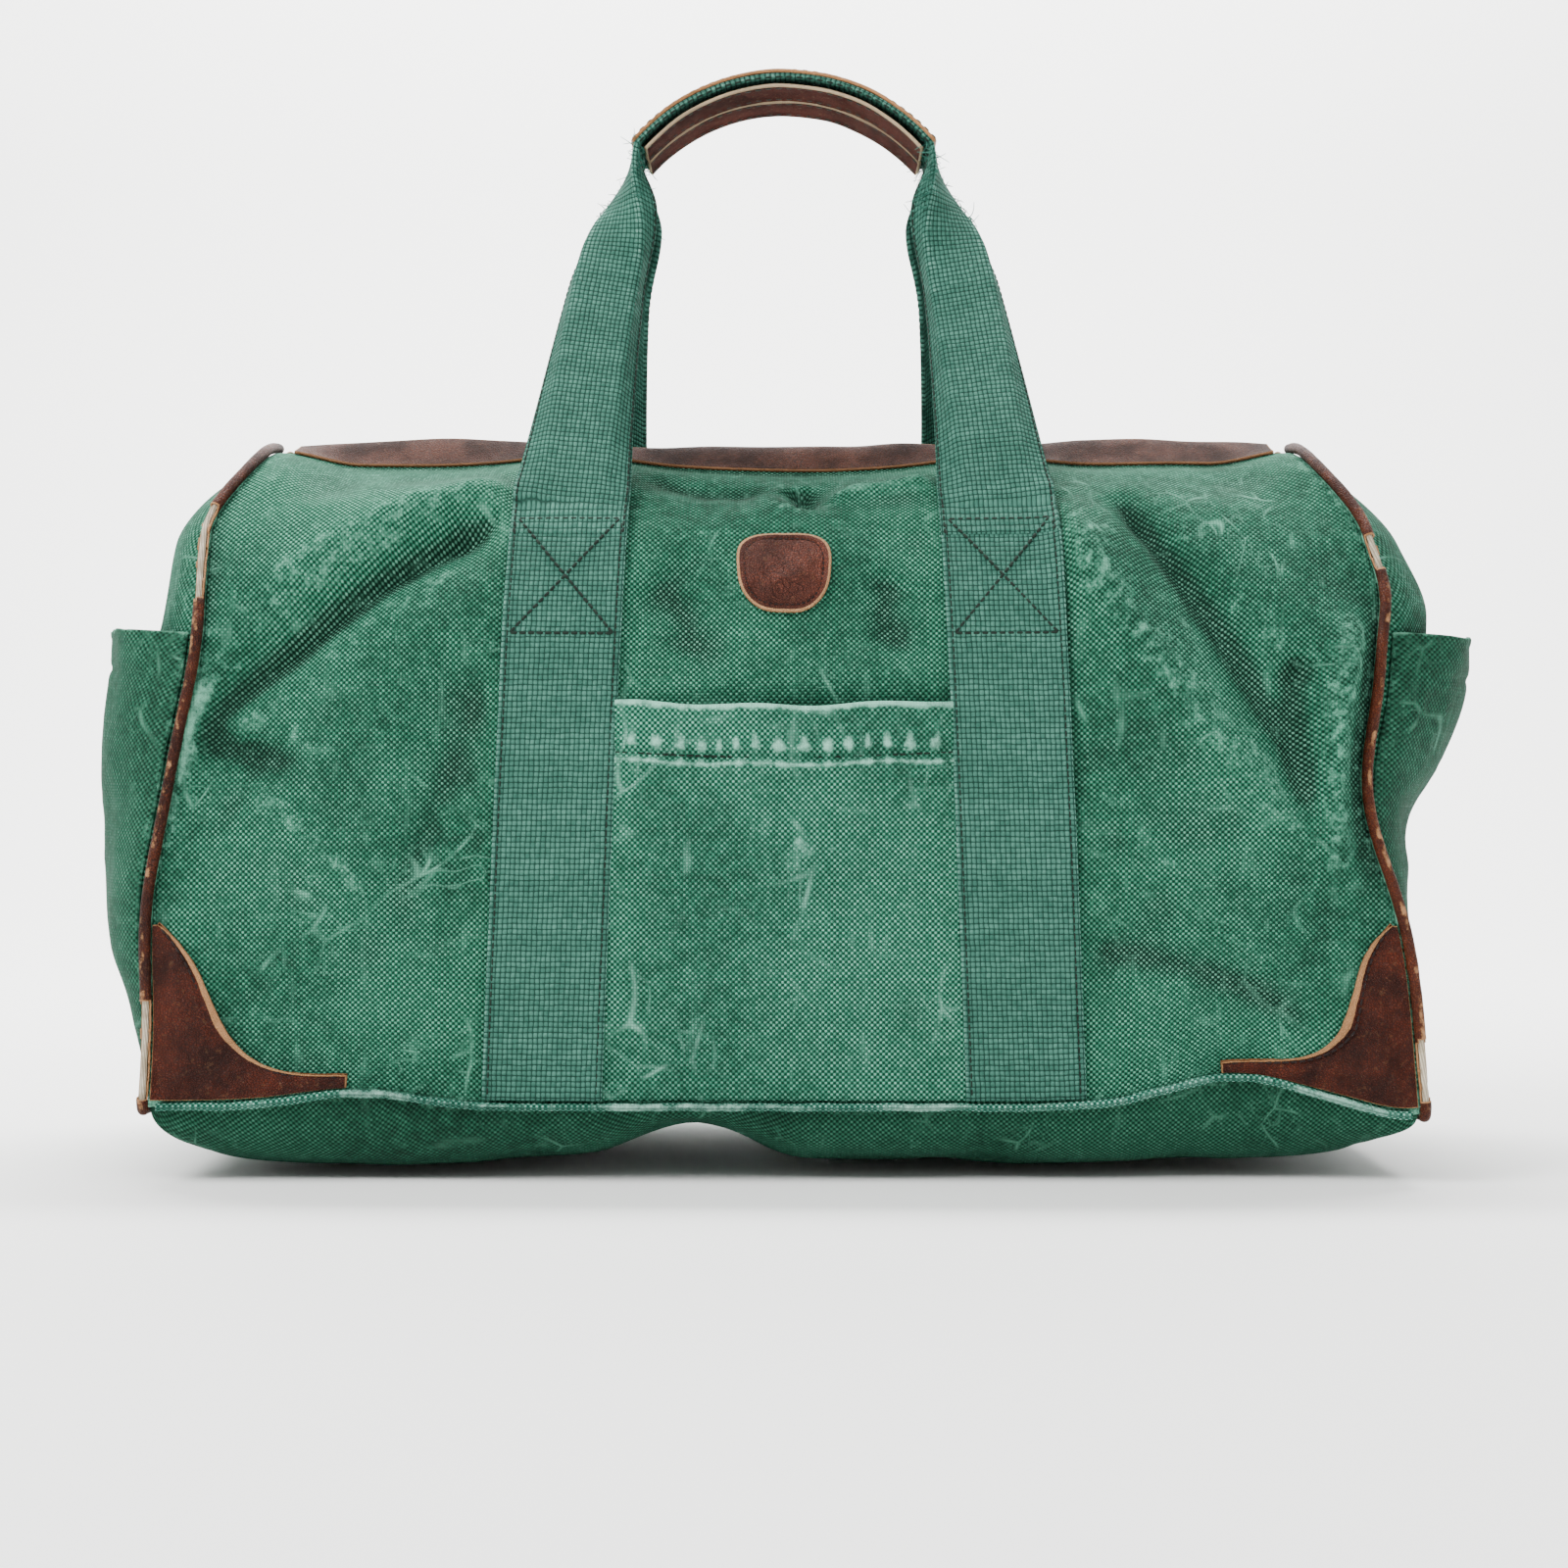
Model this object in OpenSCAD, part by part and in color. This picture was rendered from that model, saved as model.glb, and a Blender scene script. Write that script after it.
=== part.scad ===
// Ski boot bag: a soft zip-top duffel of waxed canvas with leather corners, piping and grips.
// The bag stands on the two lobes of its sagging bottom, with its front facing -Y.
// Its two carrying handles stand up and meet over the zip.

/* [Bag body] */
// Length along the bottom, from end seam to end seam
bag_length = 552; // [440:1:680]
// Depth at the bottom, from front seam to rear seam
bag_depth = 240; // [190:1:300]
// Height of the cloth body, from the bottom seam to the zip
bag_height = 296; // [250:1:360]
// Thickness of the doubled canvas
canvas = 3; // [2:0.1:4]
// How far each end seam leans in by the top
top_inset = 24; // [0:1:40]
// How far each end seam turns in over the shoulder
shoulder_inset = 16; // [5:1:25]
// Height of the rounded shoulder
shoulder_h = 46; // [30:1:60]
// How far the end panels bulge out
end_bulge = 44; // [20:1:55]
// Power of the curve in which the sides rise
rise_power = 4; // [3:0.1:6]
// Power of the curve in which the roof crosses the depth
depth_power = 2.7; // [2:0.1:4]

/* [Bottom] */
// How far the bottom hangs below its seams
floor_sag = 34; // [24:1:44]
// How far the flat feet lie in from the end seams
foot_inset = 62; // [40:1:80]
// How far the flat feet lie in from the front and rear seams
foot_margin = 50; // [30:1:70]
// Where the crease between the two lobes lies along the bag
crease_x = -40; // [-80:1:80]
// Height of the crease above the feet
crease_h = 18; // [6:1:24]
// Half the width of the crease
crease_half = 52; // [30:1:70]
// Radius of the canvas welt in the bottom seams
welt_r = 2.3; // [1.5:0.1:3]

/* [Webbing] */
// Width of the handle webbing
strap_w = 52; // [38:1:60]
// Thickness of the handle webbing
strap_t = 2.2; // [1.5:0.1:3]
// Distance from the middle of the bag to each strap at the bottom seam
strap_low = 105; // [90:1:125]
// Distance from the middle of the bag to each strap at the top of its box stitch
strap_high = 95; // [85:1:120]
// Height of zone between the box stitch and the zip
strap_drop = 34; // [26:1:50]

/* [Handles] */
// Rise of the grip's crown above the zip
handle_rise = 174; // [130:1:220]
// Straight distance between the two ends of a grip
grip_chord = 136; // [100:1:160]
// Height of the grip's arch
grip_arch = 31; // [20:1:50]
// Width of a folded grip
grip_w = 26; // [20:1:32]
// Gap between the front grip and the rear grip
grip_gap = 4; // [2:0.5:10]

/* [Pockets] */
// Height of the front patch pocket above the bottom seam
pocket_h = 175; // [120:1:180]
// Distance that the mouth of the front pocket stands off
pocket_slack = 8.5; // [6:0.5:14]
// Height of the end pockets above the bottom seam
end_pocket_h = 203; // [150:1:206]
// Distance that the mouth of an end pocket stands off
end_pocket_slack = 18; // [10:1:28]
// Thickness of the pocket canvas
pocket_canvas = 2.4; // [1.5:0.1:3]

/* [Leather] */
// Thickness of the leather
leather = 1.6; // [1:0.1:2.5]
// Height of the corner patches
patch_h = 76; // [50:1:100]
// Length of the corner patches along the bottom seam
patch_l = 85; // [60:1:110]
// Diameter of the leather piping
piping_d = 5; // [4:0.1:6]
// Diameter of the cotton cord inside the piping
core_d = 2.9; // [2:0.1:3.2]
// Width of the badge
badge_w = 42; // [30:1:60]
// Height of the badge
badge_h = 35; // [25:1:40]
// Height of the badge's centre above the bottom seam
badge_level = 238; // [230:1:240]
// Width of the leather facing beside the zip
facing_w = 18; // [12:1:24]

/* [Zip] */
// Gap between the canvas edges that the zip fills
zip_gap = 26; // [20:1:32]
// Width of one half of the coil
coil_w = 2.8; // [2:0.1:3.5]
// Gap between the two halves of the coil
coil_gap = 1.2; // [0.8:0.1:2]
// Thickness of the coil
coil_t = 2.6; // [2:0.1:3.5]
// Thickness of the zip tape
tape_t = 1; // [0.6:0.1:1.2]
// Length of the slider
slider_l = 15; // [12:0.5:20]
// Travel of the slider along the straight top run
slider_travel = 400; // [200:1:420]
// Length of the metal link between the slider and the pull
link_l = 10; // [8:0.5:14]
// Length of the leather pull
pull_l = 28; // [20:1:40]
// Width of the leather pull
pull_w = 7; // [6:0.5:10]

/* [Opening] */
// Height above the bottom seam at which the mouth of the bag folds open
mouth_level = 210; // [208:1:214]

/* [Fit] */
// Clearance left between pieces
gap = 0.4; // [0.3:0.05:0.6]
// Half the height of the slot at a fold line
fold_slot = 1.2; // [1:0.1:2]

/* [Hidden] */
half_depth = bag_depth / 2;
// Where the side of the bag turns over into its roof
split_h = 0.93 * bag_height;
split_y = half_depth * pow(1 - pow(split_h / bag_height, rise_power), 1 / depth_power);
// Share of the height over which the bottom of an end panel fills out, as a power
foot_power = 4;
// Sharpness of the end panels' edges
bulge_power = 0.7;
// Heights of the lower and upper edges of the fold line
fold_low = mouth_level - fold_slot;
fold_high = mouth_level + fold_slot;
// Height at which the webbing leaves the bag
strap_top = bag_height - strap_drop;
// Where everything sewn on the outside starts, above the welt
sewn_foot = 2 * welt_r - 1;
// Distance of the handle's fold from the bag
swing_stand = 3.2;
// Length of the straight webbing above the handle's fold
root_rise = 1.6;
// Reach of the curves that carry a handle's leg out of its fold and into its grip
leg_reach = 60;
grip_reach = 50;
// Angle below the horizontal at which a leg leaves its grip
leg_dive = 72;
// Shares of a leg's length after which it turns and after which it folds
turn_start = 0.55;
fold_start = 0.2;
// Thickness of the thread and glue between two layers
glue_line = 0.15;
// Thickness of the folded grip webbing
fold_t = 2 * strap_t + 4 * glue_line;
grip_y = -(grip_w + grip_gap) / 2;
crown_z = floor_sag + bag_height + handle_rise;
grip_r = (pow(grip_chord / 2, 2) + pow(grip_arch, 2)) / (2 * grip_arch);
grip_angle = asin(grip_chord / 2 / grip_r);
roof_z = floor_sag + bag_height;
// Depth of the zip's middle below the cloth, hung under the canvas edges
coil_mid = -canvas - 2 * gap;
slider_x = slider_travel / 2;
slider_wall = 1.2;
slider_cheek = 0.9;
slider_w = 2 * (coil_w + slider_cheek) + coil_gap + 3 * gap;
slider_low = roof_z + coil_mid - coil_t / 2 - gap;
slider_high = roof_z + coil_mid + coil_t / 2 + gap;
slider_lip = (coil_t - tape_t) / 2;
slider_post = 3;
// How far a piece is sunk into its neighbour of the same node to join it
weld = 0.1;
// Lugs on the slider, and the bar between them
lug_l = 2.4;
lug_t = 1.2;
lug_room = 5.2;
bar_r = 0.9;
bar_lift = 2.6;
bar_z = slider_high + slider_wall + bar_lift;
// Metal link: its eye round the bar, its frame, and the bar for the pull
eye_wall = 1;
eye_w = lug_room - 2 * gap;
link_t = 1.6;
link_side = 1.2;
link_neck = 4;
// Clearance round a bar that something turns on
turn_gap = 0.1;
// Metal stops at both ends of the zip
stop_w = 8;
stop_t = 1.8;
stop_h = 6;
stop_drop = 9;
stop_stand = 1.4;
// Shape of the badge and of the corner patches
badge_r = 8;
badge_taper = 3;
patch_tip = 6;
patch_edge = 3;
// Distance from the end seams to the ends of the facing and of the welt
facing_end = 8;
welt_end = 4;
// Step that the piping takes round each bottom corner, and the last height on its straight run
piping_turn = [0.4, 3.4, -2.4];
piping_foot = 8;

function unit(v) = v / norm(v);
function mix(a, b, t) = a + (b - a) * t;
function clamp01(t) = min(1, max(0, t));
function ease(t) = let (c = clamp01(t)) c * c * (3 - 2 * c);

// Half the depth of the bag at height h above the bottom seam
function side_y(h) = half_depth * pow(max(0, 1 - pow(h / bag_height, rise_power)), 1 / depth_power);
// Height of the roof at distance y from the middle
function roof_h(y) = bag_height * pow(1 - pow(abs(y) / half_depth, depth_power), 1 / rise_power);
// Half the length of the bag at height h
function seam_x(h) = bag_length / 2 - top_inset * h / bag_height
    - shoulder_inset * ease((h - bag_height + shoulder_h) / shoulder_h);
// How full the end panel is at depth y and height h, from 0 on its seams
function fullness(y, h) = pow(max(0, 1 - pow(abs(y) / half_depth, depth_power)
    - pow(h / bag_height, rise_power)), bulge_power) * (1 - pow(1 - h / bag_height, foot_power));
function end_x(y, h) = seam_x(h) + end_bulge * fullness(y, h);

// The section of the front, from 0 at the bottom seam through 1 at the crest to 2 at the zip
function girth(r) = r <= 1 ? [-side_y(r * split_h), r * split_h]
    : [-(2 - r) * split_y, roof_h((2 - r) * split_y)];
function girth_at_h(h) = h / split_h;
function girth_at_y(y) = 2 - y / split_y;
function girth_normal(r) = let (d = girth(r + 0.01) - girth(max(0, r - 0.01))) unit([-d.y, d.x]);
// A point of the front cloth, x along the bag and out away from it
function skin(x, r, out) = let (p = girth(r), n = girth_normal(r))
    [x, p.x + n.x * out, floor_sag + p.y + n.y * out];

// A point of the right end cloth
function end_raw(y, h) = [end_x(y, h), y, floor_sag + h];
function end_normal(y, h) = unit(cross(end_raw(y + 1, h) - end_raw(y - 1, h),
    end_raw(y, h + 1) - end_raw(y, h - 1)));
function end_skin(y, h, out) = end_raw(y, h) + out * end_normal(y, max(1, h));

function triangles(quads) = [for (q = quads) each [[q[0], q[1], q[2]], [q[0], q[2], q[3]]]];

// Closed sheet between two grids of points, outer seen with rows going up and columns right
module sheet(outer, inner) {
    rows = len(outer);
    cols = len(outer[0]);
    n = rows * cols;
    points = concat([for (row = outer) for (p = row) p], [for (row = inner) for (p = row) p]);
    quads = concat(
        [for (i = [0:rows - 2]) for (j = [0:cols - 2])
            [i * cols + j, (i + 1) * cols + j, (i + 1) * cols + j + 1, i * cols + j + 1]],
        [for (i = [0:rows - 2]) for (j = [0:cols - 2])
            [n + i * cols + j, n + i * cols + j + 1, n + (i + 1) * cols + j + 1, n + (i + 1) * cols + j]],
        [for (j = [0:cols - 2]) [j, j + 1, n + j + 1, n + j]],
        [for (j = [0:cols - 2]) let (k = (rows - 1) * cols + j) [k + 1, k, n + k, n + k + 1]],
        [for (i = [0:rows - 2]) let (k = i * cols) [k + cols, k, n + k, n + k + cols]],
        [for (i = [0:rows - 2]) let (k = i * cols + cols - 1) [k, k + cols, n + k + cols, n + k]]);
    polyhedron(points, triangles(quads));
}

// Solid swept through rings of points that turn the same way
module loft(rings) {
    m = len(rings[0]);
    last = (len(rings) - 1) * m;
    faces = concat(
        [[for (k = [m - 1:-1:0]) k]],
        triangles([for (i = [0:len(rings) - 2]) for (k = [0:m - 1])
            [i * m + k, i * m + (k + 1) % m, (i + 1) * m + (k + 1) % m, (i + 1) * m + k]]),
        [[for (k = [0:m - 1]) last + k]]);
    polyhedron([for (ring = rings) for (p = ring) p], faces);
}

// Round cord of radius r along a path that keeps to one side of a plane with normal side
module cord(path, r, side) {
    n = len(path);
    loft([for (i = [0:n - 1]) let (
        t = unit(path[min(n - 1, i + 1)] - path[max(0, i - 1)]),
        u = unit(side - t * (side * t)),
        w = cross(t, u))
        [for (a = [0:45:315]) path[i] + r * (cos(a) * w + sin(a) * u)]]);
}

// A band of front cloth: columns go from left(h) to right(h) at each girth in rows
module front_band(rows, low, high, left, right) {
    sheet([for (r = rows) [for (t = [0, 0.5, 1]) skin(mix(left(r), right(r), t), r, high(r))]],
        [for (r = rows) [for (t = [0, 0.5, 1]) skin(mix(left(r), right(r), t), r, low(r))]]);
}

function steps(a, b, n) = [for (i = [0:n]) mix(a, b, i / n)];
function lower_rows() = steps(0, girth_at_h(fold_low), 10);
function upper_rows() = concat(steps(girth_at_h(fold_high), 1, 6),
    steps(1, girth_at_y(zip_gap / 2), 9));
function seam_at(r) = seam_x(girth(r).y) - gap;

module front_canvas(rows) {
    front_band(rows, function(r) -canvas, function(r) 0,
        function(r) -seam_at(r), function(r) seam_at(r));
}

// One end panel, or a half of one, between the columns from(h) and to(h)
module end_canvas(heights, from, to) {
    sheet([for (h = heights) [for (y = steps(from(h), to(h), 10)) end_skin(y, h, 0)]],
        [for (h = heights) [for (y = steps(from(h), to(h), 10)) end_skin(y, h, -canvas)]]);
}
function end_edge(h) = side_y(h) - canvas - gap;

module front_panel() color([0.12, 0.43, 0.31]) front_canvas(lower_rows());
module rear_panel() mirror([0, 1, 0]) front_panel();
module front_top_panel() color([0.12, 0.43, 0.31]) front_canvas(upper_rows());
module rear_top_panel() mirror([0, 1, 0]) front_top_panel();

module right_end_panel() color([0.13, 0.45, 0.32])
    end_canvas(steps(0, fold_low, 10), function(h) -end_edge(h), function(h) end_edge(h));
module left_end_panel() mirror([1, 0, 0]) right_end_panel();

module front_right_gusset() color([0.13, 0.45, 0.32])
    end_canvas(steps(fold_high, roof_h(zip_gap / 2 + canvas + 4), 10),
        function(h) -end_edge(h), function(h) -zip_gap / 2);
module front_left_gusset() mirror([1, 0, 0]) front_right_gusset();
module rear_right_gusset() mirror([0, 1, 0]) front_right_gusset();
module rear_left_gusset() mirror([1, 0, 0]) rear_right_gusset();

// Outline of the hanging bottom seen from the front, lifted by up
function lobe_line(up, inset) = let (e = bag_length / 2 - 1 - inset, f = e - foot_inset) concat(
    [for (a = [0:15:90]) [-e + (e - f) * (1 - cos(a)), up + floor_sag * (1 - sin(a))]],
    [for (s = [-1:0.2:1]) [crease_x + s * crease_half, up + crease_h * (1 + cos(180 * s)) / 2]],
    [for (a = [90:-15:0]) [e - (e - f) * (1 - cos(a)), up + floor_sag * (1 - sin(a))]]);
// Outline of the hanging bottom seen from the end, lifted by up
function trough_line(up, inset) = let (e = half_depth - 1 - inset, m = foot_margin) concat(
    [for (a = [0:15:90]) [-e + m * (1 - cos(a)), up + floor_sag * (1 - sin(a))]],
    [for (a = [90:-15:0]) [e - m * (1 - cos(a)), up + floor_sag * (1 - sin(a))]]);
module belly(up, inset) {
    top = floor_sag - gap + up;
    intersection() {
        translate([0, half_depth, 0]) rotate([90, 0, 0]) linear_extrude(bag_depth)
            polygon(concat(lobe_line(up, inset),
                [[bag_length / 2 - 1 - inset, top + up + 1], [1 - bag_length / 2 + inset, top + up + 1]]));
        translate([-bag_length / 2, 0, 0]) rotate([90, 0, 90]) linear_extrude(bag_length)
            polygon(concat(trough_line(up, inset),
                [[half_depth - 1 - inset, top + up + 1], [1 - half_depth + inset, top + up + 1]]));
        translate([-bag_length, -bag_depth, -1]) cube([2 * bag_length, 2 * bag_depth, top + 1]);
    }
}
module bottom_panel() color([0.11, 0.39, 0.29]) difference() {
    belly(0, 0);
    belly(canvas, canvas);
}

// Patch pocket between the straps, tucked under them at its sides
function pocket_out(r) = gap + pocket_slack * pow(r * split_h / pocket_h, 2);
module front_pocket() color([0.14, 0.46, 0.33])
    front_band(steps(girth_at_h(sewn_foot), girth_at_h(pocket_h), 8),
        function(r) pocket_out(r), function(r) pocket_out(r) + pocket_canvas,
        function(r) -pocket_side(r), function(r) pocket_side(r));
function pocket_side(r) = strap_x(r * split_h) - strap_w / 2 - gap;

function end_pocket_out(y, h) = 2 * gap + end_pocket_slack * pow(h / end_pocket_h, 1.2)
    * (1 - pow(y / side_y(h), 2));
module right_end_pocket() color([0.14, 0.46, 0.33]) {
    heights = steps(2 * sewn_foot, end_pocket_h, 12);
    sheet([for (h = heights) [for (y = steps(-end_edge(h), end_edge(h), 10))
            end_skin(y, h, end_pocket_out(y, h) + pocket_canvas)]],
        [for (h = heights) [for (y = steps(-end_edge(h), end_edge(h), 10))
            end_skin(y, h, end_pocket_out(y, h))]]);
}
module left_end_pocket() mirror([1, 0, 0]) right_end_pocket();

// Leather corner with an S-shaped edge, as distances in from the end seam and up
function bezier(a, b, c, d, t) = pow(1 - t, 3) * a + 3 * pow(1 - t, 2) * t * b
    + 3 * (1 - t) * t * t * c + pow(t, 3) * d;
function corner_outline() = let (x = bag_length / 2 - patch_edge, low = floor_sag + sewn_foot,
    lean = top_inset * patch_h / bag_height, edge = [for (t = [0:0.1:1]) bezier([patch_l, patch_tip],
        [0.12 * patch_l, 0.13 * patch_h], [0.45 * patch_l, 0.72 * patch_h], [lean, patch_h], t)])
    concat([[x, low], [x - patch_l, low]], [for (p = edge) [x - p.x, low + p.y]]);
module front_right_corner() color([0.30, 0.13, 0.08])
    translate([0, -half_depth - gap, 0]) rotate([90, 0, 0]) linear_extrude(leather)
        polygon(corner_outline());
module front_left_corner() mirror([1, 0, 0]) front_right_corner();
module rear_right_corner() mirror([0, 1, 0]) front_right_corner();
module rear_left_corner() mirror([1, 0, 0]) rear_right_corner();

// Webbing sewn flat on the canvas
function strap_x(h) = mix(strap_low, strap_high, h / strap_top);
module strap_run(h0, h1, n) front_band(steps(girth_at_h(h0), girth_at_h(h1), n),
    function(r) gap, function(r) gap + strap_t,
    function(r) strap_x(r * split_h) - strap_w / 2, function(r) strap_x(r * split_h) + strap_w / 2);
module front_right_strap() color([0.27, 0.50, 0.44]) strap_run(sewn_foot, fold_low, 9);
module front_left_strap() mirror([1, 0, 0]) front_right_strap();
module rear_right_strap() mirror([0, 1, 0]) front_right_strap();
module rear_left_strap() mirror([1, 0, 0]) rear_right_strap();
module front_right_box_strap() color([0.27, 0.50, 0.44]) strap_run(fold_high, strap_top - 3, 4);
module front_left_box_strap() mirror([1, 0, 0]) front_right_box_strap();
module rear_right_box_strap() mirror([0, 1, 0]) front_right_box_strap();
module rear_left_box_strap() mirror([1, 0, 0]) rear_right_box_strap();

// Seam lines of the right end, a cord's radius clear of the cloth
piping_out = piping_d / 2 * 0.7071 + gap;
function seam_point(r) = let (p = skin(0, r, piping_out)) [seam_x(girth(r).y) + piping_out, p.y, p.z];
function lower_seam() = let (
    front = [for (r = steps(girth_at_h(fold_low), girth_at_h(piping_foot), 8)) seam_point(r)],
    foot = seam_point(0),
    low = concat(front, [foot + [0, 2 * gap, 0], foot + piping_turn])) concat(low,
    [[foot.x + piping_turn.x, 0, foot.z + piping_turn.z]],
    [for (i = [len(low) - 1:-1:0]) [low[i].x, -low[i].y, low[i].z]]);
function upper_seam() = [for (r = concat(steps(girth_at_h(fold_high), 1, 6),
    steps(1, girth_at_y(zip_gap / 2 + 2), 8))) seam_point(r)];
module piping(path) color([0.33, 0.15, 0.09]) difference() {
    cord(path, piping_d / 2, [1, 0, 0]);
    cord(path, core_d / 2 + gap / 2, [1, 0, 0]);
}
module piping_cord(path) color([0.85, 0.80, 0.70]) cord(path, core_d / 2, [1, 0, 0]);
module right_piping() piping(lower_seam());
module left_piping() mirror([1, 0, 0]) right_piping();
module lower_piping_cords() for (m = [0, 1]) mirror([m, 0, 0]) piping_cord(lower_seam());
module front_right_piping() piping(upper_seam());
module front_left_piping() mirror([1, 0, 0]) front_right_piping();
module rear_right_piping() mirror([0, 1, 0]) front_right_piping();
module rear_left_piping() mirror([1, 0, 0]) rear_right_piping();
module front_piping_cords() for (m = [0, 1]) mirror([m, 0, 0]) piping_cord(upper_seam());
module rear_piping_cords() mirror([0, 1, 0]) front_piping_cords();

module front_welt() color([0.15, 0.47, 0.34])
    translate([welt_end - bag_length / 2, -half_depth - welt_r - gap, floor_sag]) rotate([0, 90, 0])
        cylinder(r = welt_r, h = bag_length - 2 * welt_end, $fn = 32);
module rear_welt() mirror([0, 1, 0]) front_welt();

// Blank leather badge, tapered towards its foot
module badge() color([0.35, 0.16, 0.09]) {
    r = girth_at_h(badge_level);
    p = skin(0, r, gap + 1);
    n = girth_normal(r);
    translate(p) rotate([90 - atan2(n.y, -n.x), 0, 0]) linear_extrude(leather)
        polygon([for (c = [[1, 1, 0], [-1, 1, 90], [-1, -1, 180], [1, -1, 270]])
            for (a = [c.z:15:c.z + 90])
                [c.x * (badge_w / 2 - badge_r + (c.y - 1) * badge_taper / 2) + badge_r * cos(a),
                    c.y * (badge_h / 2 - badge_r) + badge_r * sin(a)]]);
}

module front_facing() color([0.36, 0.18, 0.10])
    front_band(steps(girth_at_y(zip_gap / 2 + facing_w), girth_at_y(zip_gap / 2), 4),
        function(r) gap, function(r) gap + leather,
        function(r) facing_end - seam_at(r), function(r) seam_at(r) - facing_end);
module rear_facing() mirror([0, 1, 0]) front_facing();

// The line of the zip over the roof and down both ends, seen from the front and moved out
function zip_half() = concat([for (h = steps(fold_high, bag_height, 14)) [end_x(0, h), floor_sag + h]]);
function zip_line(out) = let (
    right = zip_half(),
    n = len(right),
    line = [for (i = [0:n - 1]) let (d = i == n - 1 ? [-1, 0]
        : unit(right[min(n - 1, i + 1)] - right[max(0, i - 1)])) right[i] + out * [d.y, -d.x]])
    concat(line, [for (i = [n - 1:-1:0]) [-line[i].x, line[i].y]]);
module zip_ribbon(out, thick, y0, y1) {
    outer = zip_line(out + thick / 2);
    inner = zip_line(out - thick / 2);
    n = len(inner);
    translate([0, y1, 0]) rotate([90, 0, 0]) linear_extrude(y1 - y0)
        polygon(concat(outer, [for (i = [n - 1:-1:0]) inner[i]]));
}
module front_zip_tape() color([0.07, 0.07, 0.07])
    zip_ribbon(coil_mid, tape_t, -zip_gap / 2 - 2, -coil_w - coil_gap / 2 - gap / 4);
module rear_zip_tape() mirror([0, 1, 0]) front_zip_tape();
module front_zip_coil() color([0.05, 0.05, 0.05])
    zip_ribbon(coil_mid, coil_t, -coil_w - coil_gap / 2, -coil_gap / 2);
module rear_zip_coil() mirror([0, 1, 0]) front_zip_coil();

module zip_stops() color([0.20, 0.20, 0.20]) for (m = [0, 1]) mirror([m, 0, 0])
    translate([end_x(0, fold_low - stop_drop) + stop_stand, -stop_w / 2, floor_sag + fold_low - stop_drop])
        cube([stop_t, stop_w, stop_h]);

// The handle's centre line: a cubic curve up each leg and an arc over the grip
leg_root = [strap_high, -side_y(strap_top), roof_z - strap_drop]
    + swing_stand * [0, girth_normal(girth_at_h(strap_top)).x, girth_normal(girth_at_h(strap_top)).y];
grip_end = [grip_chord / 2, grip_y, crown_z - grip_arch];
leg_out = unit([2 * (strap_high - strap_low), (grip_y - leg_root.y) * 1.2, strap_top * 0.8]);
leg_in = [cos(leg_dive), 0, -sin(leg_dive)];
function leg_point(t) = bezier(leg_root + [0, 0, root_rise], leg_root + leg_reach * leg_out,
    grip_end + grip_reach * leg_in, grip_end, t);
function grip_point(a) = [grip_r * sin(a), grip_y, crown_z - grip_r + grip_r * cos(a)];
// Handle stations from the left leg's root to the right leg's: point, width, normal, fold
function flip(p) = [-p.x, p.y, p.z];
function stations() = let (
    leg = [for (t = [0:0.1:0.95]) [leg_point(t), ease((t - turn_start) / (1 - turn_start)),
        ease((t - fold_start) / (1 - fold_start))]],
    left = [for (s = leg) [flip(s[0]), s[1], s[2]]],
    arch = [for (a = steps(-grip_angle, grip_angle, 10)) [grip_point(a), 1, 1]],
    right = [for (i = [len(leg) - 1:-1:0]) leg[i]],
    all = concat(left, arch, right),
    n = len(all))
    [for (i = [0:n - 1]) let (
        p = all[i][0],
        t = unit(all[min(n - 1, i + 1)][0] - all[max(0, i - 1)][0]),
        away = unit([p.x, 0, p.z - crown_z + grip_r]),
        turned = mix([0, -1, 0], away, all[i][1]),
        u = unit(turned - t * (turned * t)))
        [p, cross(t, u), u, all[i][2]]];
function strip_ring(s, out, w, th) = [for (c = [[1, 1], [-1, 1], [-1, -1], [1, -1]])
    s[0] + s[1] * c.x * w / 2 + s[2] * (out + c.y * th / 2)];
module front_handle_webbing() color([0.27, 0.50, 0.44])
    loft([for (s = stations()) strip_ring(s, 0, mix(strap_w, grip_w, s[3]), mix(strap_t, fold_t, s[3]))]);
module rear_handle_webbing() mirror([0, 1, 0]) front_handle_webbing();
module grip_strip(out) loft([for (s = stations()) if (s[3] == 1) strip_ring(s, out, grip_w, leather)]);
module front_grip_cover() color([0.45, 0.24, 0.13]) grip_strip(fold_t / 2 + glue_line + leather / 2);
module rear_grip_cover() mirror([0, 1, 0]) front_grip_cover();
module front_grip_lining() color([0.30, 0.12, 0.08]) grip_strip(-fold_t / 2 - glue_line - leather / 2);
module rear_grip_lining() mirror([0, 1, 0]) front_grip_lining();

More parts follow.
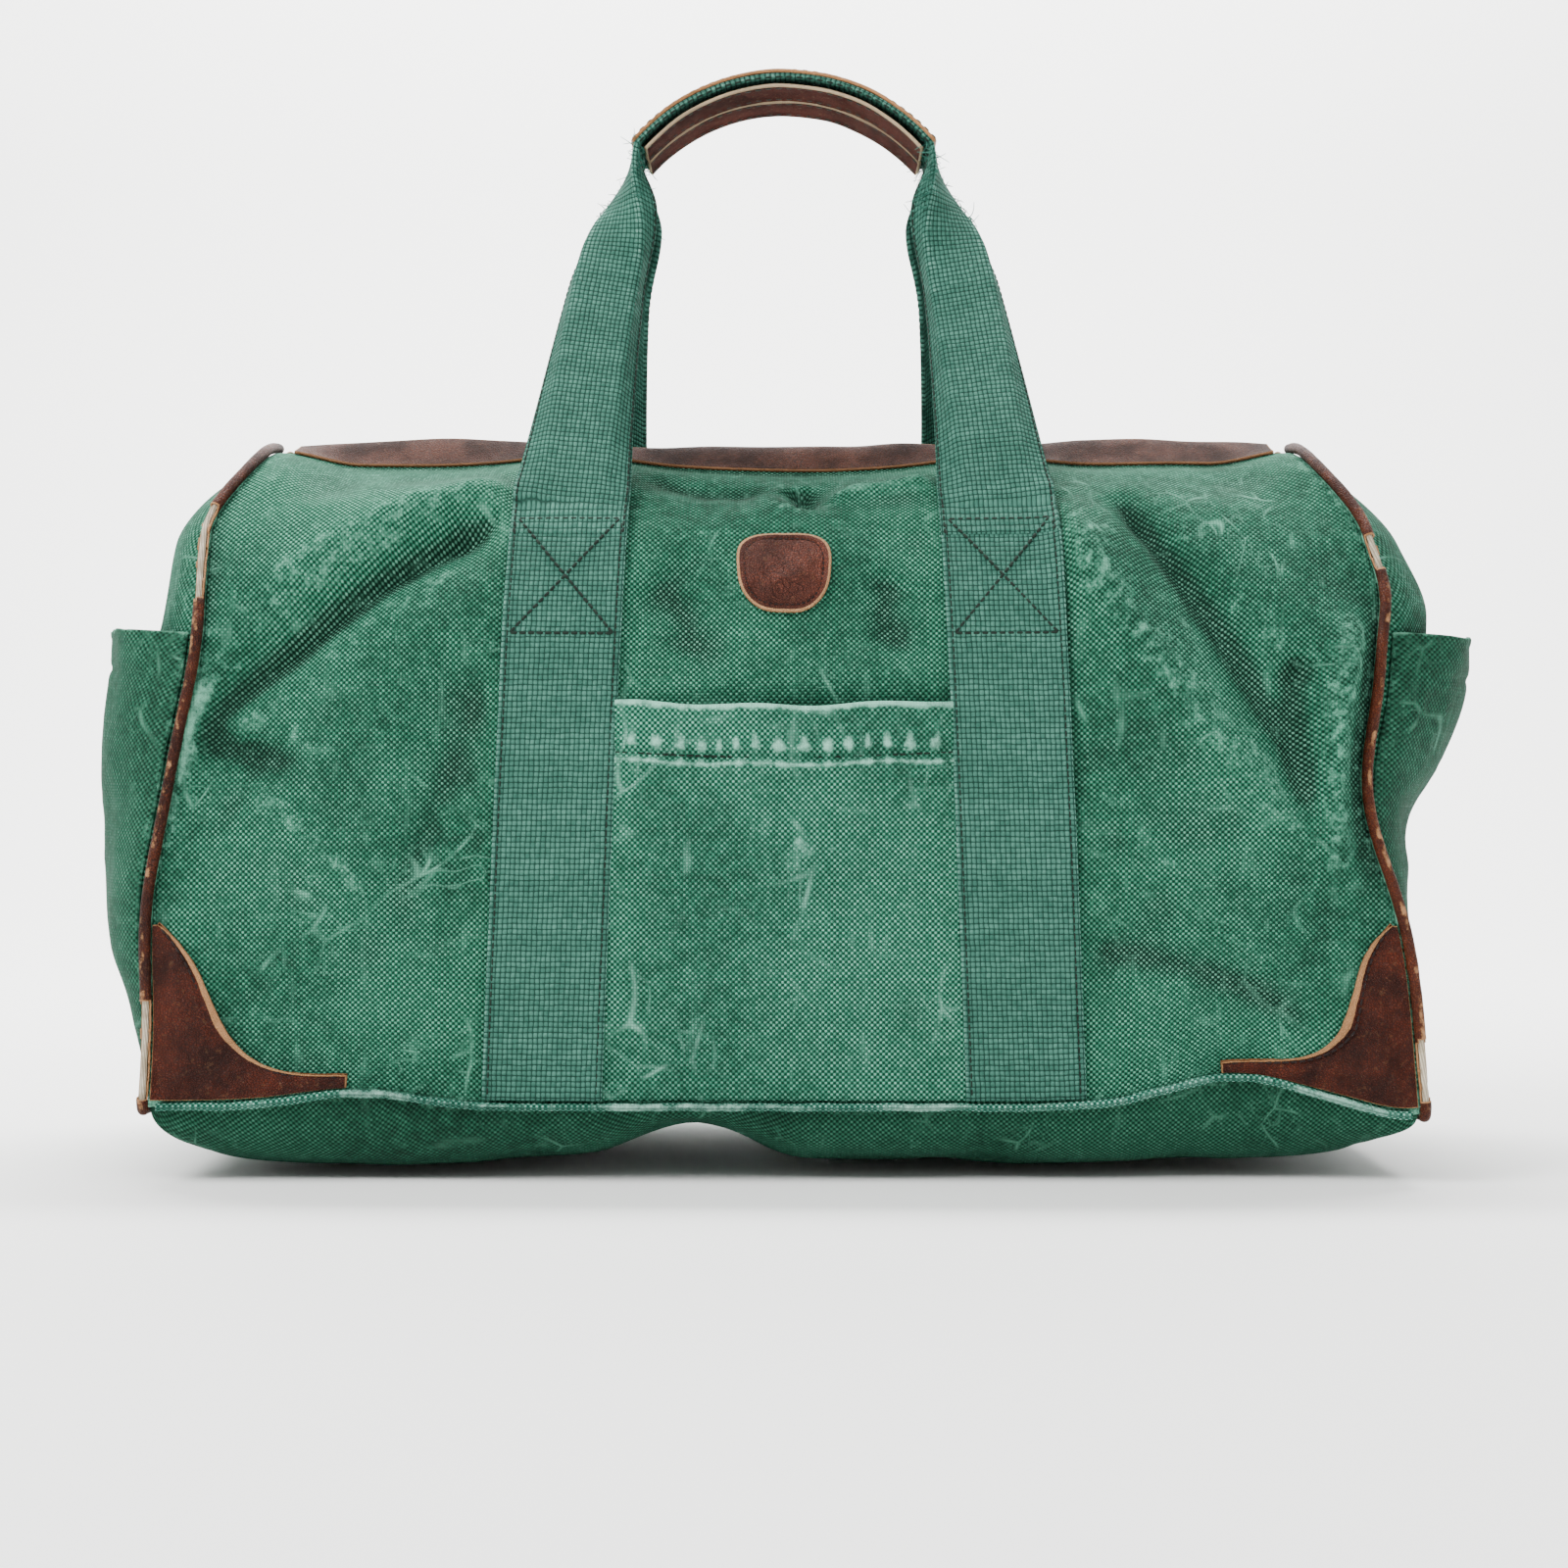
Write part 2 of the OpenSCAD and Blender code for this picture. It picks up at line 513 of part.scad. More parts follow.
// Slider with a channel for the closed coil, and the bar that its pull hangs on
module zip_slider() color([0.15, 0.15, 0.15]) translate([slider_x, 0, 0]) {
    for (z = [slider_low - slider_wall, slider_high])
        translate([-slider_l / 2, -slider_w / 2, z]) cube([slider_l, slider_w, slider_wall]);
    for (y = [-slider_w / 2, slider_w / 2 - slider_cheek]) {
        for (z = [slider_low - weld, slider_high - slider_lip])
            translate([-slider_l / 2, y, z]) cube([slider_l, slider_cheek, slider_lip + weld]);
    }
    translate([slider_l / 2 - slider_post, -coil_gap / 4, slider_low - weld])
        cube([slider_post, coil_gap / 2, slider_high - slider_low + 2 * weld]);
    for (y = [-lug_room / 2 - lug_t, lug_room / 2])
        translate([-lug_l / 2, y, slider_high + slider_wall - weld])
            cube([lug_l, lug_t, bar_lift + bar_r + weld]);
    translate([0, lug_room / 2 + lug_t, bar_z]) rotate([90, 0, 0])
        cylinder(r = bar_r, h = lug_room + 2 * lug_t, $fn = 32);
}
// Cross bar of radius r and length w, centred x along from the slider's bar
module cross_bar(x, r, w) translate([x, w / 2, 0]) rotate([90, 0, 0]) cylinder(r = r, h = w, $fn = 32);
link_w = pull_w + 2 * (gap + link_side);
module zip_link() color([0.2, 0.2, 0.2]) translate([slider_x, 0, bar_z]) difference() {
    union() {
        cross_bar(0, bar_r + eye_wall, eye_w);
        translate([-link_neck, -eye_w / 2, -link_t / 2]) cube([link_neck - bar_r, eye_w, link_t]);
        translate([-link_neck, -link_w / 2, -link_t / 2]) cube([link_t, link_w, link_t]);
        for (y = [-link_w / 2, link_w / 2 - link_side])
            translate([-link_l, y, -link_t / 2]) cube([link_l - link_neck + link_t, link_side, link_t]);
        cross_bar(-link_l, link_t / 2, link_w);
    }
    cross_bar(0, bar_r + turn_gap, link_w);
}
module pull_tab() color([0.33, 0.15, 0.09]) translate([slider_x, 0, bar_z]) difference() {
    union() {
        cross_bar(-link_l, link_t / 2 + turn_gap + leather, pull_w);
        translate([-link_l - pull_l + pull_w / 2, -pull_w / 2, -leather])
            cube([pull_l - pull_w / 2, pull_w, 2 * leather]);
        translate([-link_l - pull_l + pull_w / 2, 0, -leather])
            cylinder(r = pull_w / 2, h = 2 * leather, $fn = 48);
    }
    cross_bar(-link_l, link_t / 2 + turn_gap, 2 * pull_w);
}

front_panel();
rear_panel();
bottom_panel();
left_end_panel();
right_end_panel();
front_pocket();
left_end_pocket();
right_end_pocket();
front_left_corner();
front_right_corner();
rear_left_corner();
rear_right_corner();
front_left_strap();
front_right_strap();
rear_left_strap();
rear_right_strap();
left_piping();
right_piping();
lower_piping_cords();
front_welt();
rear_welt();
zip_stops();
front_top_panel();
front_left_gusset();
front_right_gusset();
front_left_box_strap();
front_right_box_strap();
badge();
front_left_piping();
front_right_piping();
front_piping_cords();
front_facing();
front_zip_tape();
front_zip_coil();
rear_top_panel();
rear_left_gusset();
rear_right_gusset();
rear_left_box_strap();
rear_right_box_strap();
rear_left_piping();
rear_right_piping();
rear_piping_cords();
rear_facing();
rear_zip_tape();
rear_zip_coil();
front_handle_webbing();
front_grip_cover();
front_grip_lining();
rear_handle_webbing();
rear_grip_cover();
rear_grip_lining();
zip_slider();
zip_link();
pull_tab();
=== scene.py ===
"""A soft canvas duffel for ski boots, with webbing handles and leather trim, made in metres on its
CAD frame."""

import math

import bpy
import numpy as np
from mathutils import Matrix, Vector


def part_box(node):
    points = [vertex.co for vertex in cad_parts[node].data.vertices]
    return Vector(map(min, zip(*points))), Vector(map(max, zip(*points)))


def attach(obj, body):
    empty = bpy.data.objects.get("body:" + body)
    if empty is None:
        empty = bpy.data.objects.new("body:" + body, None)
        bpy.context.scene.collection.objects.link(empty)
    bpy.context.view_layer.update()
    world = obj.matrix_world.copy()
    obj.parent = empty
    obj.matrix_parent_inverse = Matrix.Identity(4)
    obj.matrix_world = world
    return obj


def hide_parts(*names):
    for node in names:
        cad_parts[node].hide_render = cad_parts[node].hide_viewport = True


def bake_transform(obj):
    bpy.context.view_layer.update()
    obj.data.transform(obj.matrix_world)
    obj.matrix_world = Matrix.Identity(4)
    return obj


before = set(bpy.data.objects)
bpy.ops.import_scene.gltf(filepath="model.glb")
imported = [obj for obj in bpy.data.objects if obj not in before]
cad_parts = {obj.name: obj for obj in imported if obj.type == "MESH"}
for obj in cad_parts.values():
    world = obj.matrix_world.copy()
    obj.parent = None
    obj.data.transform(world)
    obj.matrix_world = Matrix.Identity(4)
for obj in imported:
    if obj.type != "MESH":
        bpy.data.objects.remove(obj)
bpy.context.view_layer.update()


# ---- Studio -------------------------------------------------------------------------------
# A pale paper sweep, curved up behind the bag, under two large soft boxes and a pale sky.
# The camera stands level with the middle of the bag, square to its front.

def new_mesh(name, points, faces, smooth=True):
    """An object at the origin made of the given points and faces."""
    mesh = bpy.data.meshes.new(name)
    mesh.from_pydata(np.asarray(points).reshape(-1, 3).tolist(), [], [list(f) for f in faces])
    mesh.polygons.foreach_set("use_smooth", [smooth] * len(mesh.polygons))
    mesh.update()
    piece = bpy.data.objects.new(name, mesh)
    bpy.context.scene.collection.objects.link(piece)
    return piece


def grid_faces(rows, cols, around=False):
    """Quads between neighbouring rows and columns; around joins the last column to the first."""
    r, c = np.meshgrid(np.arange(rows - 1), np.arange(cols if around else cols - 1), indexing="ij")
    d = (c + 1) % cols
    quads = np.stack([r * cols + c, r * cols + d, (r + 1) * cols + d, (r + 1) * cols + c], -1)
    return quads.reshape(-1, 4)


floor_half, wall_top = 3.0, 3.0
sweep_y, sweep_r = 1.1, 0.9
turn = np.linspace(0, math.pi / 2, 25)
sweep = np.concatenate([
    [[-floor_half, 0]],
    np.stack([sweep_y + sweep_r * np.sin(turn), sweep_r * (1 - np.cos(turn))], -1),
    [[sweep_y + sweep_r, wall_top]],
])
paper = np.zeros((len(sweep), 2, 3))
paper[:, 0, 0], paper[:, 1, 0] = -floor_half, floor_half
paper[:, :, 1:] = sweep[:, None, :]
backdrop = new_mesh("paper_sweep", paper, grid_faces(len(sweep), 2))
paper_finish = bpy.data.materials.new("pale_paper")
paper_finish.use_nodes = True
paper_shader = paper_finish.node_tree.nodes["Principled BSDF"]
paper_shader.inputs["Base Color"].default_value = (0.93, 0.93, 0.92, 1)
paper_shader.inputs["Roughness"].default_value = 0.9
backdrop.data.materials.append(paper_finish)


def soft_box(name, place, aim, width, height, watts):
    """A rectangular area light at place, turned to face aim."""
    light = bpy.data.lights.new(name, "AREA")
    light.shape, light.size, light.size_y, light.energy = "RECTANGLE", width, height, watts
    lamp = bpy.data.objects.new(name, light)
    lamp.location = place
    direction = np.array(aim) - np.array(place)
    lamp.rotation_euler = (math.atan2(math.hypot(direction[0], direction[1]), -direction[2]), 0,
                           math.atan2(direction[1], direction[0]) - math.pi / 2)
    bpy.context.scene.collection.objects.link(lamp)


soft_box("key_box", (-1.3, -1.0, 1.8), (0, 0, 0.15), 0.9, 0.9, 60)
soft_box("fill_box", (1.7, -1.6, 0.8), (0, 0, 0.2), 1.4, 1.4, 6)
soft_box("wall_box", (0.0, 0.7, 2.4), (0, 2.0, 0.8), 2.4, 0.8, 250)
soft_box("floor_box", (0.0, -1.5, 1.5), (0, -1.3, 0.0), 2.4, 0.8, 34)
sky = bpy.data.worlds.new("pale_sky")
sky.use_nodes = True
sky.node_tree.nodes["Background"].inputs["Color"].default_value = (1, 1, 1, 1)
sky.node_tree.nodes["Background"].inputs["Strength"].default_value = 0.46
bpy.context.scene.world = sky

front_low, front_high = (np.array(c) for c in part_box("front_panel"))
camera_stand = 1.2
camera_height = 0.174
view_width = 0.68
film_width = 36
camera = bpy.data.objects.new("camera", bpy.data.cameras.new("camera"))
camera.location = (0.0, front_low[1] - camera_stand, camera_height)
camera.rotation_euler = (math.pi / 2, 0, 0)
camera.data.sensor_width = film_width
camera.data.lens = film_width * camera_stand / view_width
bpy.context.scene.collection.objects.link(camera)
bpy.context.scene.camera = camera


# ---- Canvas body ----------------------------------------------------------------------------
# The bag is heavy washed canvas: a front and a rear panel that run from the bottom seam over the
# crest to the zip, two end panels split by the zip above their pockets, and a bottom that hangs
# in two lobes. The panels are sewn together over piping, and hang in folds from the handles.

both_faces = ((1, "front"), (-1, "rear"))
both_ends = ((-1, "left"), (1, "right"))
canvas_thick = 0.0018
seam_gap = 0.0004
body_length = front_high[0] - front_low[0] + 2 * seam_gap
half_depth = -front_low[1]
seam_z = front_low[2]
body_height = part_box("front_top_panel")[1][2] - seam_z
zip_half_gap = -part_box("front_top_panel")[1][1]
rise_power, depth_power = 4.0, 2.7
body_height = body_height / (1 - (zip_half_gap / half_depth) ** depth_power) ** (1 / rise_power)
fold_h = (front_high[2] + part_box("front_top_panel")[0][2]) / 2 - seam_z
top_inset, shoulder_inset, shoulder_h = 0.024, 0.016, 0.046
end_bulge, bulge_power, foot_power = 0.044, 0.7, 4

# The section of the front as a curve: distance along the cloth, depth and height
quarter = np.linspace(0, math.pi / 2, 4001)
section_y = half_depth * np.cos(quarter) ** (2 / depth_power)
section_h = body_height * np.sin(quarter) ** (2 / rise_power)
section_s = np.concatenate([[0], np.cumsum(np.hypot(np.diff(section_y), np.diff(section_h)))])


def cloth_at_h(h):
    """Distance up the cloth from the bottom seam at which it reaches height h."""
    return np.interp(h, section_h, section_s)


def cloth_at_y(y):
    """Distance up the cloth at which it comes within y of the zip."""
    return np.interp(-np.asarray(y), -section_y, section_s)


def side_y(h):
    """Half the depth at height h, from the rounded square |y/Y|^2.7 + (h/H)^4 = 1."""
    return half_depth * np.clip(1 - (h / body_height) ** rise_power, 0, None) ** (1 / depth_power)


def smooth(t):
    """0 before 0, 1 after 1, and an even S-curve between."""
    t = np.clip(t, 0, 1)
    return t * t * (3 - 2 * t)


def hump(t):
    """A bell of height 1 and width 1 about 0: exp(-t^2)."""
    return np.exp(-np.asarray(t) ** 2)


def humps(t, *shapes):
    """Bells added up, one for each (height, middle, width) of shapes."""
    return sum(tall * hump((t - middle) / width) for tall, middle, width in shapes)


def seam_x(h, end):
    """Half the length at height h; the right seam sinks in where the front folds over it."""
    even = body_length / 2 - top_inset * h / body_height
    even = even - shoulder_inset * smooth((h - body_height + shoulder_h) / shoulder_h)
    left = humps(h, (0.005, 0.085, 0.04), (-0.005, 0.20, 0.04))
    right = humps(h, (0.004, 0.225, 0.02), (-0.014, 0.135, 0.045))
    return even + np.where(np.asarray(end) > 0, right, left)


def seam_lift(x):
    """How far the bottom seam is drawn up at x: the corners hang, and the cloth beside them lifts."""
    return humps(x, (0.006, -0.185, 0.035), (0.013, 0.195, 0.04), (-0.004, 0.268, 0.02))


def noise(a, b, cell, seed):
    """Smooth random field from -1 to 1: a lattice of random values, blended with S-curves."""
    rng = np.random.RandomState(seed)
    lattice = rng.uniform(-1, 1, (97, 97))
    a, b = np.broadcast_arrays(np.asarray(a) / cell + 40.37, np.asarray(b) / cell + 40.71)
    i, j = np.floor(a).astype(int), np.floor(b).astype(int)
    u, v = smooth(a - i), smooth(b - j)
    i, j = i % 96, j % 96
    low = lattice[i, j] * (1 - u) + lattice[i + 1, j] * u
    high = lattice[i, j + 1] * (1 - u) + lattice[i + 1, j + 1] * u
    return low * (1 - v) + high * v


def crumple(a, b, seed):
    """Creased cloth: ridges |noise| at three scales on turned axes, sharp along their tops."""
    total = 0.0
    for k, (cell, tall) in enumerate([(0.075, 1.0), (0.036, 0.5), (0.017, 0.22)]):
        t = 0.6 + 1.1 * k
        p, q = a * math.cos(t) + b * math.sin(t), b * math.cos(t) - a * math.sin(t)
        total = total + tall * (0.5 - np.sqrt(noise(p, q * 0.7, cell, seed + k) ** 2 + 0.002))
    return total


def fold(a, b, run, width, tall):
    """A fold along the quadratic curve through the control points run; its cross-section is a
    pointed bell, exp(-|d|/width) rounded at the top, and it dies away at both ends."""
    steps = 12
    t = np.linspace(0, 1, steps + 1)[:, None]
    p, q, r = (np.array(c) for c in run)
    curve = (1 - t) ** 2 * p + 2 * t * (1 - t) * q + t ** 2 * r
    nearest, along = np.full(a.shape, 9.0), np.zeros(a.shape)
    for i, (start, step) in enumerate(zip(curve, np.diff(curve, axis=0))):
        u = np.clip(((a - start[0]) * step[0] + (b - start[1]) * step[1]) / (step @ step), 0, 1)
        gap = np.hypot(a - start[0] - u * step[0], b - start[1] - u * step[1])
        along = np.where(gap < nearest, (i + u) / steps, along)
        nearest = np.minimum(gap, nearest)
    d = np.sqrt(nearest ** 2 + (0.25 * width) ** 2) - 0.25 * width
    ends = smooth(along / 0.2 + 0.12) * smooth((1 - along) / 0.38 + 0.05)
    return tall * np.exp(-d / width) * ends


strap_width = 0.052
strap_low, strap_high = 0.105, 0.095
strap_top_h = body_height - 0.034
pocket_top_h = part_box("front_pocket")[1][2] - seam_z


def strap_x(h):
    """Distance of a strap's middle from the middle of the bag; the straps close in as they rise."""
    return strap_low + (strap_high - strap_low) * h / strap_top_h


# Valleys (negative) and ridges of the front, in metres along the bag and up the cloth
front_folds = [
    [(-0.121, 0.268), (-0.185, 0.235), (-0.268, 0.150), 0.009, -0.0105],
    [(-0.121, 0.290), (-0.180, 0.270), (-0.250, 0.205), 0.020, 0.0060],
    [(-0.235, 0.140), (-0.200, 0.120), (-0.160, 0.060), 0.014, 0.0035],
    [(-0.262, 0.170), (-0.245, 0.152), (-0.205, 0.150), 0.008, -0.0060],
    [(-0.130, 0.200), (-0.150, 0.120), (-0.190, 0.040), 0.018, -0.0040],
    [(0.118, 0.275), (0.150, 0.190), (0.262, 0.075), 0.020, 0.0078],
    [(0.145, 0.285), (0.190, 0.215), (0.235, 0.125), 0.010, -0.0090],
    [(0.262, 0.215), (0.232, 0.180), (0.243, 0.080), 0.012, 0.0080],
    [(0.225, 0.200), (0.218, 0.160), (0.228, 0.120), 0.007, -0.0070],
    [(0.125, 0.070), (0.190, 0.060), (0.245, 0.020), 0.014, -0.0050],
    [(0.130, 0.150), (0.165, 0.100), (0.215, 0.050), 0.012, 0.0030],
    [(0.004, 0.300), (0.016, 0.285), (0.004, 0.272), 0.005, -0.0060],
    [(0.068, 0.300), (0.045, 0.285), (0.014, 0.285), 0.009, 0.0045],
    [(-0.065, 0.310), (-0.030, 0.290), (0.000, 0.296), 0.012, -0.0040],
    [(-0.060, 0.235), (-0.030, 0.210), (-0.045, 0.190), 0.012, -0.0030],
    [(0.050, 0.235), (0.035, 0.215), (0.060, 0.195), 0.010, -0.0030],
]
rear_folds = [
    [(-0.121, 0.275), (-0.175, 0.220), (-0.262, 0.110), 0.016, -0.0085],
    [(-0.118, 0.290), (-0.200, 0.270), (-0.250, 0.200), 0.020, 0.0050],
    [(0.121, 0.268), (0.190, 0.225), (0.262, 0.140), 0.013, -0.0090],
    [(0.118, 0.290), (0.170, 0.280), (0.245, 0.225), 0.018, 0.0055],
    [(0.130, 0.180), (0.160, 0.100), (0.230, 0.040), 0.016, 0.0040],
    [(-0.060, 0.290), (0.000, 0.235), (0.060, 0.285), 0.018, -0.0045],
    [(-0.050, 0.120), (0.010, 0.100), (0.050, 0.040), 0.016, 0.0030],
]


fold_gain, crumple_tall = 1.9, 0.0052


def relief(x, s, face):
    """How far the folds and creases lift the cloth. They die out at the seams and under the straps."""
    folds = front_folds if face > 0 else rear_folds
    lift = fold_gain * sum(fold(x, s, f[:3], f[3], f[4]) for f in folds)
    lift = lift + crumple_tall * crumple(x * face, s, 11 if face > 0 else 41)
    h = np.interp(s, section_s, section_h)
    under = np.exp(-(np.abs(np.abs(x) - strap_x(h)) / (0.56 * strap_width)) ** 6)
    lift = lift * (1 - 0.85 * under * (h < strap_top_h + 0.01))
    pocket = smooth((0.082 - np.abs(x)) / 0.01) * smooth((pocket_top_h + 0.004 - h) / 0.01)
    lift = lift * (1 - 0.8 * pocket)
    to_end = np.minimum(seam_x(h, 1) - x, seam_x(h, -1) + x)
    edge = smooth(to_end / 0.014) * smooth(s / 0.02) * smooth((section_s[-1] - 0.03 - s) / 0.05)
    crest = 0.0075 + 0.0035 * hump(x / 0.06) - 0.0050 * hump((np.abs(x) - 0.095) / 0.032)
    crest = crest + 0.0012 * noise(x, 0 * x, 0.05, 66)
    crest = -crest * smooth(to_end / 0.04) * smooth((s - 0.245) / 0.06)
    crest = crest * smooth((section_s[-1] - 0.015 - s) / 0.02)
    return lift * edge + crest


def panel_point(x, s, out, face, folded=True):
    """A point of the front (face 1) or rear (face -1) cloth, at x along the bag and s up the
    cloth from the bottom seam, moved out along the section's normal."""
    x, s = np.broadcast_arrays(np.asarray(x, float), np.asarray(s, float))
    y, h = np.interp(s, section_s, section_y), np.interp(s, section_s, section_h)
    step = 0.002
    dy = np.interp(s + step, section_s, section_y) - np.interp(s - step, section_s, section_y)
    dh = np.interp(s + step, section_s, section_h) - np.interp(s - step, section_s, section_h)
    size = np.hypot(dy, dh)
    out = out + (relief(x, s, face) if folded else 0)
    lift = seam_lift(x * face) * np.exp(-h / 0.045)
    return np.stack([x, -face * (y + out * dh / size), seam_z + h - out * dy / size + lift], -1)


def unit(v):
    """v at a length of one."""
    return v / (np.linalg.norm(v, axis=-1, keepdims=True) + 1e-12)


def normals_of(grid):
    """The normals of a grid of points: the cross product of its column and row steps."""
    return unit(np.cross(np.gradient(grid, axis=1), np.gradient(grid, axis=0)))


def add_cloth_uv(piece, uv):
    """A UV map named Cloth, from one pair of values a point. An inner layer repeats the outer's."""
    loops = np.zeros(len(piece.data.loops), np.int32)
    piece.data.loops.foreach_get("vertex_index", loops)
    pairs = uv.reshape(-1, 2).astype(np.float32)
    piece.data.uv_layers.new(name="Cloth").data.foreach_set("uv", pairs[loops % len(pairs)].ravel())


def closed_sheet(name, outer, thick, uv, masks=(), finish=None):
    """Cloth or leather between outer[row, column] and the same grid moved in along its normals by
    thick, closed round its rim, where the mask raw is 1."""
    rows, cols = outer.shape[:2]
    inner = outer - normals_of(outer) * thick
    count = rows * cols
    quads = grid_faces(rows, cols)
    index = np.arange(count).reshape(rows, cols)
    rim = np.concatenate([index[0, :-1], index[:-1, -1], index[-1, :0:-1], index[:0:-1, 0]])
    after = np.roll(rim, -1)
    walls = np.stack([rim, rim + count, after + count, after], -1)
    faces = np.concatenate([quads, quads[:, ::-1] + count, walls])
    piece = new_mesh(name, np.concatenate([outer.reshape(-1, 3), inner.reshape(-1, 3)]), faces)
    add_cloth_uv(piece, uv)
    raw = np.zeros((2, rows, cols))
    raw[:, 0], raw[:, -1], raw[:, :, 0], raw[:, :, -1] = 1, 1, 1, 1
    add_mask(piece, "raw", raw)
    for key, values in dict(masks).items():
        add_mask(piece, key, np.stack([np.broadcast_to(values, (rows, cols))] * 2))
    if finish:
        piece.data.materials.append(finish)
    return piece


def add_mask(piece, name, values):
    """A value between 0 and 1 at each point, which the finishes read by name."""
    mask = piece.data.attributes.new(name, "FLOAT", "POINT")
    mask.data.foreach_set("value", np.clip(values, 0, 1).ravel().astype(np.float32))


def worn(height_map, reach=0.0009):
    """Where creases stand proud of their neighbourhood, from 0 to 1: that is where cloth rubs white.
    Given a height turned over, it marks the valleys instead; on the front and rear canvas those are painted
    shade.
    """
    around = height_map.copy()
    for _ in range(3):
        padded = np.pad(around, 2, mode="edge")
        around = sum(padded[i:i + around.shape[0], j:j + around.shape[1]]
                     for i in (0, 2, 4) for j in (0, 2, 4)) / 9
    return np.clip((height_map - around) / reach, 0, 1)


def node_group(name, takes, gives):
    """An empty shader group with number inputs and outputs; a name ending in Vector is a vector."""
    tree = bpy.data.node_groups.new(name, "ShaderNodeTree")
    for names, way in ((takes, "INPUT"), (gives, "OUTPUT")):
        for socket in names:
            kind = "NodeSocketVector" if socket.endswith("Vector") else "NodeSocketFloat"
            tree.interface.new_socket(socket, in_out=way, socket_type=kind)
    return tree, tree.nodes.new("NodeGroupInput").outputs, tree.nodes.new("NodeGroupOutput").inputs


def add(tree, kind, feeds=(), **settings):
    """A node with its settings. feeds maps an input to a value, or to the output that feeds it."""
    node = tree.nodes.new("ShaderNode" + kind)
    for key, value in settings.items():
        setattr(node, key, value)
    for key, value in dict(feeds).items():
        if isinstance(value, bpy.types.NodeSocket):
            tree.links.new(value, node.inputs[key])
        else:
            node.inputs[key].default_value = value
    return node


def calc(tree, operation, *values, clamp=False):
    """One Math node of the values, as its output."""
    return add(tree, "Math", dict(enumerate(values)), operation=operation, use_clamp=clamp).outputs[0]


def times(tree, a, b):
    """a times b."""
    return calc(tree, "MULTIPLY", a, b)


def ramp(tree, value, low, high, bottom=0.0, top=1.0):
    """value eased from low..high to bottom..top."""
    feeds = {"Value": value, "From Min": low, "From Max": high, "To Min": bottom, "To Max": top}
    return add(tree, "MapRange", feeds, interpolation_type="SMOOTHSTEP").outputs["Result"]


def cloudy(tree, vector, scale, detail=3.0, rough=0.6):
    """Soft noise from about 0.25 to 0.75."""
    feeds = {"Vector": vector, "Scale": scale, "Detail": detail, "Roughness": rough}
    return add(tree, "TexNoise", feeds).outputs["Fac"]


def mixed(tree, amount, low, high):
    """low and high colours mixed by amount. Its colour inputs are the seventh and eighth."""
    low, high = (c if isinstance(c, bpy.types.NodeSocket) else (*c, 1) for c in (low, high))
    return add(tree, "Mix", {"Factor": amount, 6: low, 7: high}, data_type="RGBA").outputs[2]


def painted(tree, name):
    """The value at each point that add_mask wrote under this name."""
    return add(tree, "Attribute", attribute_name=name).outputs["Fac"]


# Weave: yarns crossing at a pitch. Checks is 1 where a warp yarn is on top and 0 where a weft
# yarn is, Domes is 1 on a crossing and 0 in the gaps, and Tone is one random value a crossing.
weave, given, wanted = node_group("weave", ("Cloth Vector", "Across", "Along"), ("Checks", "Domes", "Tone"))
yarn = add(weave, "SeparateXYZ", {0: given["Cloth Vector"]}).outputs
across = calc(weave, "DIVIDE", yarn[0], given["Across"])
along = calc(weave, "DIVIDE", yarn[1], given["Along"])
wave = times(weave, calc(weave, "SINE", times(weave, across, math.pi)),
            calc(weave, "SINE", times(weave, along, math.pi)))
weave.links.new(calc(weave, "MULTIPLY_ADD", wave, 0.5, 0.5), wanted["Checks"])
weave.links.new(calc(weave, "SQRT", calc(weave, "ABSOLUTE", wave)), wanted["Domes"])
cell = add(weave, "CombineXYZ", {0: calc(weave, "FLOOR", across),
                                 1: calc(weave, "FLOOR", along)}).outputs[0]
weave.links.new(add(weave, "TexWhiteNoise", {"Vector": cell},
                    noise_dimensions="2D").outputs["Value"], wanted["Tone"])


def crease_group(name, dimensions):
    """Creases: a web of bent lines, the edges of Voronoi cells. Each place is first moved by itself
    times soft noise. Line is 1 on a line, and fades out over patches that were never creased."""
    group, given, wanted = node_group(name, ("Place Vector", "Scale", "Spread"), ("Line",))
    coarser = times(group, given["Scale"], 0.8)
    push = add(group, "TexNoise", {"Vector": given["Place Vector"], "Scale": coarser, "Detail": 1.0})
    push = push.outputs["Color"]
    spot = add(group, "VectorMath", {0: push, 1: given["Place Vector"], 2: given["Place Vector"]},
               operation="MULTIPLY_ADD")
    web = add(group, "TexVoronoi", {"Vector": spot.outputs[0], "Scale": given["Scale"]},
              feature="DISTANCE_TO_EDGE", voronoi_dimensions=dimensions)
    line = ramp(group, web.outputs["Distance"], 0.0, given["Spread"], 1.0, 0.0)
    line = times(group, line, line)
    patch = ramp(group, cloudy(group, given["Place Vector"], 16.0), 0.46, 0.66)
    group.links.new(times(group, line, patch), wanted["Line"])
    return group


# Leather creases run through its thickness; cloth wrinkles lie in the cloth
creases = crease_group("creases", "3D")
wrinkles = crease_group("wrinkles", "2D")


def use(tree, group, feeds):
    """The outputs of a group placed in a material."""
    return add(tree, "Group", feeds, node_tree=group).outputs


def new_finish(name, roughness, gloss=0.3):
    """A material, its tree, its shader, and the object coordinates it reads."""
    finish = bpy.data.materials.new(name)
    finish.use_nodes = True
    tree = finish.node_tree
    shader = tree.nodes["Principled BSDF"]
    shader.inputs["Roughness"].default_value = roughness
    shader.inputs["Specular IOR Level"].default_value = gloss
    return finish, tree, shader, add(tree, "TexCoord").outputs["Object"]


